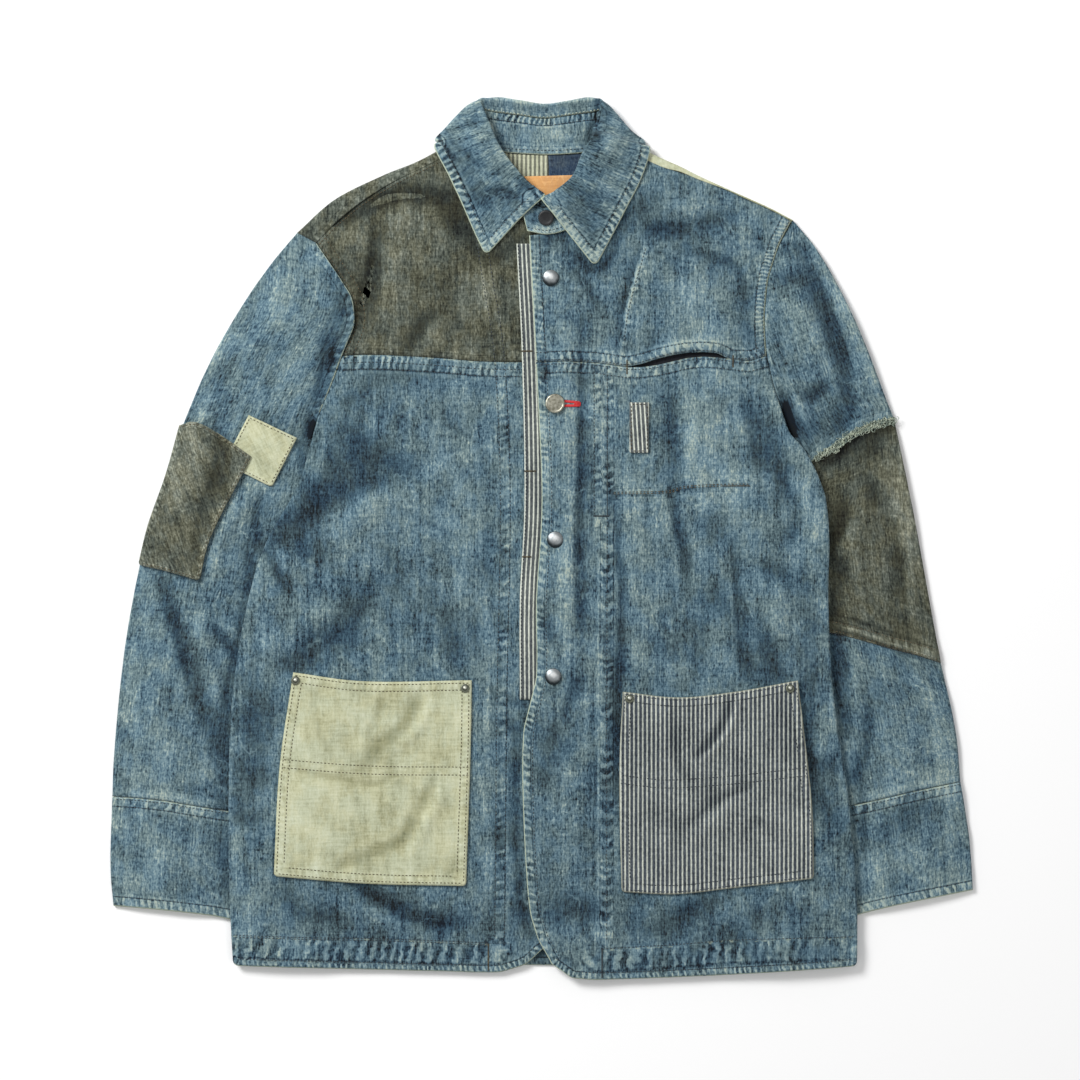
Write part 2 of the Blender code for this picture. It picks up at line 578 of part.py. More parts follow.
def collar_points(section, top):
    """Neck, seam, roll, side, under and edge points of one collar section."""
    neck = Vector((section.neck_x, section.neck_y))
    roll = Vector((section.roll_x, section.roll_y))
    side = Vector((section.side_x, section.side_y))
    edge = Vector((section.edge_x, section.edge_y))
    neck_z = (top if abs(neck.x) > NECK_HALF or not section.tucked else back_z)(*neck) + 1.5 * WALL + GAP
    if section.tucked:
        roll_z, side_z = section.roll_z, section.side_z
        edge_z, under_z = 0.5 * WALL, 0.5 * WALL
    else:
        base = top(*edge) + 1.5 * WALL + 2 * GAP
        roll_z, side_z = base + section.roll_z, base + 0.55 * section.side_z
        edge_z, under_z = base, base + 0.2 * section.side_z
    seam = neck.lerp(roll, STAND_SHARE)
    under = side.lerp(edge, 0.12 if section.tucked else 0.6)
    return {"neck": neck.to_3d() + Vector((0, 0, neck_z)),
            "seam": seam.to_3d() + Vector((0, 0, roll_z - STAND_DROP)),
            "roll": roll.to_3d() + Vector((0, 0, roll_z)),
            "side": side.to_3d() + Vector((0, 0, side_z)),
            "under": under.to_3d() + Vector((0, 0, under_z)),
            "edge": edge.to_3d() + Vector((0, 0, edge_z))}


def make_collar():
    """Stand round the neck, whose left end laps the right one, and the fall that turns over it."""
    sections = [collar_points(s, right_z if s.neck_x < 0 else left_z) for s in COLLAR]
    fall = [[s["seam"].lerp(s["roll"], SEAM_SHARE) for s in sections]]
    for name_a, name_b, parts in (("seam", "roll", 2), ("roll", "side", 3), ("side", "under", 2),
                                  ("under", "edge", 2)):
        for part in range(1, parts + 1):
            bulge = BULGE * math.sin(math.pi * part / parts) * (name_a == "roll")
            fall.append([s[name_a].lerp(s[name_b], part / parts) + Vector((0, 0, bulge)) for s in sections])
    sheet("collar_fall", fall, BLUE)
    low = [s["neck"] for s in sections] + [Vector(TAB[0])]
    high = [s["seam"] for s in sections] + [Vector(TAB[1])]
    sheet("collar_stand", [[a.lerp(b, i / 3) for a, b in zip(low, high)] for i in range(4)], BLUE)


def make_pockets():
    """Patch pockets and tab, each lifted off the panel it is sewn to."""
    def on_right(x, y):
        return right_z(x, y) + WALL + 2 * GAP

    def on_left(x, y):
        return left_z(x, y) + WALL + 2 * GAP
    panel("pocket_right", quad(POCKET_RIGHT, 8, 8), on_right, OFF_WHITE, THIN)
    panel("pocket_left", quad(POCKET_LEFT, 8, 8), on_left, HICKORY, THIN)
    panel("chest_tab", quad(CHEST_TAB, 1, 2), on_left, HICKORY, THIN)


def make_fastenings():
    """Snaps, buttons and pocket rivets."""
    snap = ((0, 0), (6.2, 0), (7.2, 0.5), (7.2, 1.2), (6.2, 2.1), (3.6, 2.6), (0, 2.7))
    for name, x, y in SNAPS:
        turned(name, x, y, left_z(x, y) + WALL + GAP, snap, PEWTER, 1.0)
    shank = ((0, 0), (3.5, 0), (3.5, 1.6), (7.6, 2.2), (8.5, 3.0), (8.5, 3.6), (7.6, 4.3), (0, 4.6))
    x, y = SHANK_AT
    turned("shank_button", x, y, left_z(x, y) + WALL + GAP, shank, PEWTER, 1.0)
    button = ((0, 0), (5.2, 0), (5.8, 0.6), (5.8, 1.5), (5.2, 2.0), (3.6, 2.2), (3.2, 1.7), (0, 1.6))
    x, y, z = COLLAR_BUTTON_AT
    turned("collar_button", x, y, z, button, DARK, 0.0).rotation_euler.x = COLLAR_TILT
    rivet = ((0, 0), (3.4, 0), (3.8, 0.5), (2.6, 1.1), (1.6, 1.5), (0, 1.6))
    for name, x, y in RIVETS:
        top = right_z(x, y) if x < 0 else left_z(x, y)
        turned(name, x, y, top + WALL + THIN + 3 * GAP, rivet, PEWTER, 1.0)


for old in list(bpy.data.objects):
    bpy.data.objects.remove(old)
make_back()
make_fronts()
make_sleeves()
make_collar()
make_pockets()
make_fastenings()
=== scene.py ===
# %% [markdown]
# # A patched denim work jacket, laid out flat
# A jacket like this is cut from flat cloth, so each cut piece becomes one thin sheet here.
# The imported solids give every sheet its outline and its resting height. This script adds what
# a solid leaves out: soft folds, puckered seams, stitches, worn edges, weave and metal trim.
#
# The first cell loads the solids and keeps them, so that the box of any one of them can be read.

# %% Load the solids
import math
import random
from collections import namedtuple

import bmesh
import bpy
import numpy as np
from mathutils import Matrix, Vector
from mathutils.bvhtree import BVHTree


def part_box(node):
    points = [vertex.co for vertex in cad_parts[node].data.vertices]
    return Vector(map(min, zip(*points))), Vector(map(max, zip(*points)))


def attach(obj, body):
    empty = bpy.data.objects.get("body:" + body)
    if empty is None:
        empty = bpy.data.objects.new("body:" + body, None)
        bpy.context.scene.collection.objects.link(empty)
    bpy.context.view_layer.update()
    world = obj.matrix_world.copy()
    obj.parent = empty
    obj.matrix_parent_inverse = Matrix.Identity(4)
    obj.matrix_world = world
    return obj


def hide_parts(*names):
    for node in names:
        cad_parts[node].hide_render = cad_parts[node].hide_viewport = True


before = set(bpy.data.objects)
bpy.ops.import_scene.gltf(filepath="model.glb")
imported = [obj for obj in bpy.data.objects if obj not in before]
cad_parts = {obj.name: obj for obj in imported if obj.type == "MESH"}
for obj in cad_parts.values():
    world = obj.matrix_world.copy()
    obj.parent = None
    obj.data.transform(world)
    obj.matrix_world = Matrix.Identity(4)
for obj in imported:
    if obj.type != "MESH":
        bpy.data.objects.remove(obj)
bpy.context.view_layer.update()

MM = 0.001        # sizes below are in millimetres
WALL = 1.1        # denim
THIN = 0.9        # pocket cloth, patches and facing
AIR = 0.25        # air between two layers that lie on each other
HIGH = 0.1        # metres, well above and below everything
UPWARD = 0.3      # least rise of the normal of an upper face
SETTLING = 8      # times that a solid's steps are smoothed under cloth
UNEVEN = 0.08     # shade of the slow waves

# %% [markdown]
# ## Lines
# Edges, seams and rows of stitches are all lines. Three helpers do most of the work: one divides
# a line into equal steps, one draws a smooth line through a few points as a maker's French curve
# does, and one finds how far a spot of cloth is from a line and how far along the line it sits.

# %% Helpers for lines
def runs_of(line):
    """Distance along a line at each of its points."""
    return np.r_[0, np.cumsum(np.linalg.norm(np.diff(line, axis=0), axis=1))]


def runs_across(grid):
    """The same for each row of a grid."""
    return np.array([runs_of(row) for row in grid])


def length_of(line):
    """Length of a line of points."""
    return float(runs_of(line)[-1])


def spread(line, count):
    """The same line as count + 1 points at equal steps."""
    line = np.asarray(line, float)
    runs = runs_of(line)
    at = np.linspace(0, runs[-1], count + 1)
    return np.stack([np.interp(at, runs, line[:, k]) for k in range(line.shape[1])], axis=1)


def lofted(points, parts):
    """Points, or rows of points, with smooth ones put in between, the same number in each gap."""
    padded = np.concatenate([2 * points[:1] - points[1:2], points, 2 * points[-1:] - points[-2:-1]])
    t = np.linspace(0, 1, parts, endpoint=False).reshape(-1, *[1] * (points.ndim - 1))
    spans = [0.5 * (2 * b + (c - a) * t + (2 * a - 5 * b + 4 * c - d) * t ** 2
                    + (3 * b - a - 3 * c + d) * t ** 3)
             for a, b, c, d in zip(padded, padded[1:], padded[2:], padded[3:])]
    return np.concatenate(spans + [points[-1:]])


def through(points, step=3.0):
    """Smooth line through the points, divided into steps of about that length."""
    fine = lofted(np.array(points, float), 20)
    return spread(fine, max(2, round(length_of(fine) / step)))


def softened(line, reach):
    """The same line with its corners rounded over a reach, its ends kept."""
    fine = spread(line, max(8, round(length_of(line))))
    for _ in range(round(reach * reach / 2)):
        fine[1:-1] = 0.25 * fine[:-2] + 0.5 * fine[1:-1] + 0.25 * fine[2:]
    return fine


def smooth(low, high, value):
    """Smooth step from 0 at low to 1 at high."""
    t = np.clip((value - low) / (high - low), 0, 1)
    return t * t * (3 - 2 * t)


def nearest(spots, line):
    """For every spot: distance to a line, run along it, and 1 on its left or -1 on its right."""
    start, side = line[:-1], np.diff(line, axis=0)
    size = (side ** 2).sum(1) + 1e-9
    runs = np.r_[0, np.cumsum(np.sqrt(size))][:-1]
    found = []
    for some in np.array_split(spots, len(spots) // 4000 + 1):
        reach = some[:, None] - start
        share = np.clip((reach * side).sum(2) / size, 0, 1)
        off = reach - share[..., None] * side
        gap = np.sqrt((off ** 2).sum(2))
        k = gap.argmin(1)
        row = np.arange(len(k))
        turn = side[k, 0] * reach[row, k, 1] - side[k, 1] * reach[row, k, 0]
        found.append(np.stack([gap[row, k], runs[k] + share[row, k] * np.sqrt(size[k]), np.sign(turn)]))
    return np.concatenate(found, axis=1)


def shifted(line, by, trim=0.0):
    """A line moved to its left by a distance, its ends cut back by trim."""
    slope = np.gradient(line, axis=0)
    slope /= np.linalg.norm(slope, axis=1)[:, None] + 1e-9
    moved = line + by * np.stack([-slope[:, 1], slope[:, 0]], axis=1)
    if trim:
        whole = length_of(moved)
        moved = spread(moved, max(4, round(whole)))
        cut = round(trim / whole * (len(moved) - 1))
        moved = moved[cut:len(moved) - cut]
    return moved


print("a curve through three points:", round(length_of(through(((0, 0), (50, 10), (100, 0)))), 1), "mm")

# %% [markdown]
# ## Reading a solid
# A solid's upper faces say where a cut piece lies. Its outline is the border of those faces. A ray
# dropped on them gives the height of any spot. A CAD mesh is loose triangles, so a copy is merged
# before anything is read from it.

# %% Outline and height of a solid
def faces_of(node, up=1):
    """The upper faces of a solid, or with up = -1 the lower ones, as an open bmesh."""
    bm = bmesh.new()
    bm.from_mesh(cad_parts[node].data)
    bmesh.ops.remove_doubles(bm, verts=bm.verts, dist=1e-6)
    bm.normal_update()
    away = [face for face in bm.faces if face.normal.z * up < UPWARD]
    bmesh.ops.delete(bm, geom=away, context="FACES")
    return bm


def outline(node):
    """Plan outline of a solid's upper faces, anticlockwise."""
    bm = faces_of(node)
    after = {}
    for edge in bm.edges:
        if edge.is_boundary:
            loop = edge.link_loops[0]
            after[loop.vert] = loop.link_loop_next.vert
    spot = first = next(iter(after))
    line = []
    while spot is not first or not line:
        line.append((spot.co.x / MM, spot.co.y / MM))
        spot = after[spot]
    bm.free()
    return np.array(line)


def side_between(loop, start, end):
    """Stretch of an outline, anticlockwise, between its points nearest to two places."""
    a, b = [int(np.hypot(*(loop - place).T).argmin()) for place in (start, end)]
    order = np.arange(a, b + 1) if a < b else np.r_[a:len(loop), 0:b + 1]
    return loop[order]


def tree_of(node):
    """A search tree over the upper faces of a solid."""
    bm = faces_of(node)
    tree = BVHTree.FromBMesh(bm)
    bm.free()
    return tree


def landing(tree, spots):
    """Height at which each plan spot lands on a surface, or NaN beside it."""
    down = Vector((0, 0, -1))
    result = np.full(len(spots), np.nan)
    for k, (x, y) in enumerate(spots):
        hit = tree.ray_cast(Vector((x * MM, y * MM, HIGH)), down)[0]
        if hit is not None:
            result[k] = hit.z / MM
    return result


def landing_or_near(tree, spots):
    """The same, with the nearest edge's height beside the surface."""
    result = landing(tree, spots)
    missed = np.isnan(result)
    middle = 10.0 if missed.all() else float(np.nanmedian(result))
    for k in np.flatnonzero(missed):
        near = tree.find_nearest(Vector((spots[k][0] * MM, spots[k][1] * MM, middle * MM)))[0]
        result[k] = near.z / MM
    return result


def eased(heights, times):
    """A grid of heights with its steps smoothed."""
    for _ in range(times):
        wide = np.pad(heights, 1, mode="edge")
        beside = wide[:-2, 1:-1] + wide[2:, 1:-1] + wide[1:-1, :-2] + wide[1:-1, 2:]
        heights = (heights * 4 + beside) / 8
    return heights


print("outline of the left front:", len(outline("front_left")), "points")

# %% [markdown]
# ## Folds, wear and painted shade
# Worn cloth keeps folds where the arm bends and where seams pull, and the dye stays dark in their
# troughs and goes pale on their ridges. The shade of a row is partly that wear and partly painted
# shade: painted shadow in the troughs, under the collar, along edges that lie over other cloth,
# between the sleeves and the body, and in the black gaps at the armpits. Each row below is one fold,
# worn place or painted shadow. Its columns are a half width, a rise (below 0 for a trough), a shade
# (below 0 for darker) and then the spots it passes. One flank is steeper, and a half width below 0
# puts it on the other side. The sleeves come first: they keep folds across the bend of the arm.

# %% Folds of the sleeves
FOLDS_AND_SHADOWS = {}         # rows by the part of the jacket
FOLDS_AND_SHADOWS["sleeve_right"] = (
    (20, 1, 0.16, (-226, 240), (-236, 205), (-250, 175)),
    (-12, 0.4, 0.2, (-252, 222), (-286, 170), (-306, 120)),
    (7, 0.6, 0.18, (-199, 180), (-198, 150), (-203, 124)),
    (-7, -2.6, -0.56, (-182, 176), (-186, 144), (-197, 110)),
    (12, 0.9, 0.06, (-214, 170), (-222, 140), (-226, 112)),
    (-4.5, -4.5, -1.9, (-199, 105), (-200, 95), (-202, 86)),
    (4, -2, -0.45, (-213, 84), (-211, 68), (-210, 50)),
    (-12, -0.8, -0.04, (-284, 130), (-290, 100), (-280, 60)),
    (6, -1.8, -0.24, (-282, 96), (-284, 60), (-296, 25), (-306, -24)),
    (-12, -0.6, -0.22, (-276, 66), (-280, 44), (-276, 30)),
    (12, 1.2, 0.1, (-316, 80), (-322, 40), (-334, 0)),
    (-10, 1.6, 0.2, (-256, 38), (-274, 10), (-288, -20)),
    (5, -2.4, -0.5, (-246, 34), (-251, 10), (-244, -12), (-232, -30)),
    (-6, -2, -0.5, (-254, -4), (-252, -40), (-254, -72)),
    (4.5, -2.8, -0.62, (-288, -76), (-273, -98), (-263, -116)),
    (-6, 1.8, 0.16, (-290, -68), (-268, -84), (-258, -100)),
    (7.5, -3, -0.62, (-334, -40), (-322, -72), (-308, -120), (-296, -155), (-283, -192), (-277, -212)),
    (-4.5, -1.6, -0.26, (-287, -100), (-279, -124), (-272, -150)),
    (5, 2.2, 0.24, (-300, -76), (-286, -120), (-277, -156)),
    (-18, 1.2, 0.08, (-348, -70), (-345, -130), (-338, -200)),
    (14, 0.5, 0.1, (-350, -150), (-340, -206)),
    (-7, -1.8, -0.34, (-277, -205), (-279, -262), (-275, -320)),
    (16, -0.6, -0.16, (-326, -290), (-300, -270), (-290, -300)),
    (-8, -1, -0.46, (-180, 232), (-170, 205), (-174, 180), (-184, 152)),
    (6, -1, -0.46, (-262, -50), (-266, -90), (-276, -130), (-280, -190)),
    (12, -0.5, -0.26, (-184, 190), (-188, 160), (-194, 134)),
    (-16, 0.4, 0.22, (-306, 106), (-300, 90), (-304, 70)),
    (7, -0.5, -0.32, (-181, 172), (-187, 150), (-196, 124)),
    (-5, 0.4, 0.28, (-374, -222), (-332, -225), (-300, -230), (-276, -234)),
    (8, -0.6, -0.3, (-276, -170), (-274, -190), (-276, -215)),
    (-14, 0.3, 0.16, (-304, 96), (-302, 70), (-306, 44)),
    (8, 0.3, 0.22, (-328, -212), (-308, -212), (-292, -206)),
    (-6, 0.3, 0.22, (-308, -32), (-304, -60), (-300, -90)),
    (45, 0, 0.12, (-345, -262), (-330, -305)),
)
FOLDS_AND_SHADOWS["sleeve_left"] = (
    (-5, -1, -0.34, (210, 250), (222, 258), (232, 250)),
    (6, -1, -0.22, (206, 224), (218, 227), (230, 222)),
    (-7.5, -3.4, -0.66, (232, 254), (244, 217), (256, 188), (266, 156), (273, 108)),
    (11, 2.2, 0.34, (248, 236), (270, 192), (284, 158), (297, 122)),
    (-14, 1.6, 0.06, (222, 222), (230, 190), (240, 150)),
    (5.5, -3.2, -0.75, (228, 124), (238, 122), (250, 134)),
    (-5.6, -6.5, -1.9, (214, 124), (216, 112), (219, 100), (224, 86)),
    (4, 2.4, 0.36, (222, 122), (232, 98), (242, 76)),
    (-10, -1.2, -0.2, (258, 118), (262, 100), (258, 90)),
    (7, -2.2, -0.6, (246, 66), (256, 70), (272, 84)),
    (-7, -2.8, -0.62, (263, 36), (264, 16), (256, -8), (262, -24)),
    (5.5, -2.4, -0.5, (262, -20), (256, -60), (257, -104), (262, -140), (266, -172)),
    (-9, -1.8, -0.36, (288, 50), (294, 38), (298, 26)),
    (10, 1.6, 0.1, (274, 44), (276, 14), (272, -20)),
    (-7, -1.4, -0.32, (309, 12), (314, -24), (318, -60)),
    (12, 1, 0.14, (312, 82), (322, 44), (330, 6)),
    (-8, -0.9, -0.18, (288, 6), (287, -30), (290, -60)),
    (8, 1.6, 0.1, (272, -50), (272, -76), (276, -150)),
    (-4.5, -2, -0.4, (287, -136), (286, -186), (274, -210)),
    (14, 1.2, 0.12, (306, -110), (304, -160), (300, -206)),
    (-14, 0.6, 0.24, (346, -150), (356, -190), (364, -240)),
    (9, -0.8, -0.22, (312, -76), (312, -110), (314, -140)),
    (-5, -1.6, -0.36, (275, -188), (281, -230), (284, -280), (286, -316)),
    (7, -0.8, -0.2, (288, -240), (312, -237), (340, -231)),
    (-9, 1, 0.26, (290, -280), (296, -300), (300, -318)),
    (12, -1, -0.26, (266, 76), (282, 74), (298, 86)),
    (-14, -0.6, -0.36, (290, -264), (318, -246), (350, -234)),
    (-3.5, -0.6, -0.5, (246, 68), (262, 77), (278, 89), (294, 93), (312, 97)),
    (9, -0.6, -0.34, (224, 112), (234, 96), (240, 84)),
    (-12, 0.4, 0.22, (222, 268), (236, 250), (240, 236)),
    (-22, 0.2, 0.2, (312, 60), (318, 20), (322, -30)),
    (9, -0.3, -0.2, (272, 34), (276, 0), (280, -20)),
    (-8, 0.3, 0.24, (286, 6), (288, -20), (287, -44)),
    (6, 0.2, 0.22, (274, -64), (282, -68), (294, -72)),
    (-9, 0.3, 0.24, (288, -214), (306, -207), (332, -204)),
    (1.8, -0.3, -0.6, (256, -80), (276, -85), (300, -94), (322, -101), (347, -110)),
    (-1.6, 0.2, 0.4, (256, -76), (276, -81), (300, -90), (322, -97), (346, -106)),
    (1.4, -0.1, -0.36, (256, -67), (276, -72), (300, -81), (322, -88), (343, -97)),
    (-6, -0.6, -0.26, (226, 104), (236, 88), (242, 70)),
    (5.5, -0.8, -0.52, (262, -82), (264, -100), (264, -124)),
    (-7, -0.6, -0.26, (294, -120), (297, -144), (300, -174)),
    (4, 0.4, 0.36, (280, -231), (302, -224), (332, -216), (352, -212)),
    (-45, 0, 0.13, (305, -262), (325, -290)),
)
print("folds of the sleeves:", sum(map(len, FOLDS_AND_SHADOWS.values())))

# %% [markdown]
# ## Folds of the fronts
# The fronts keep slack folds between the arms and the pockets, and short ones that pull at the
# snaps. Narrow rows are places where a turned edge underneath shows through. Dark rows along the
# lapped front edge, under the collar and under the folds of the shoulders are painted shadow.

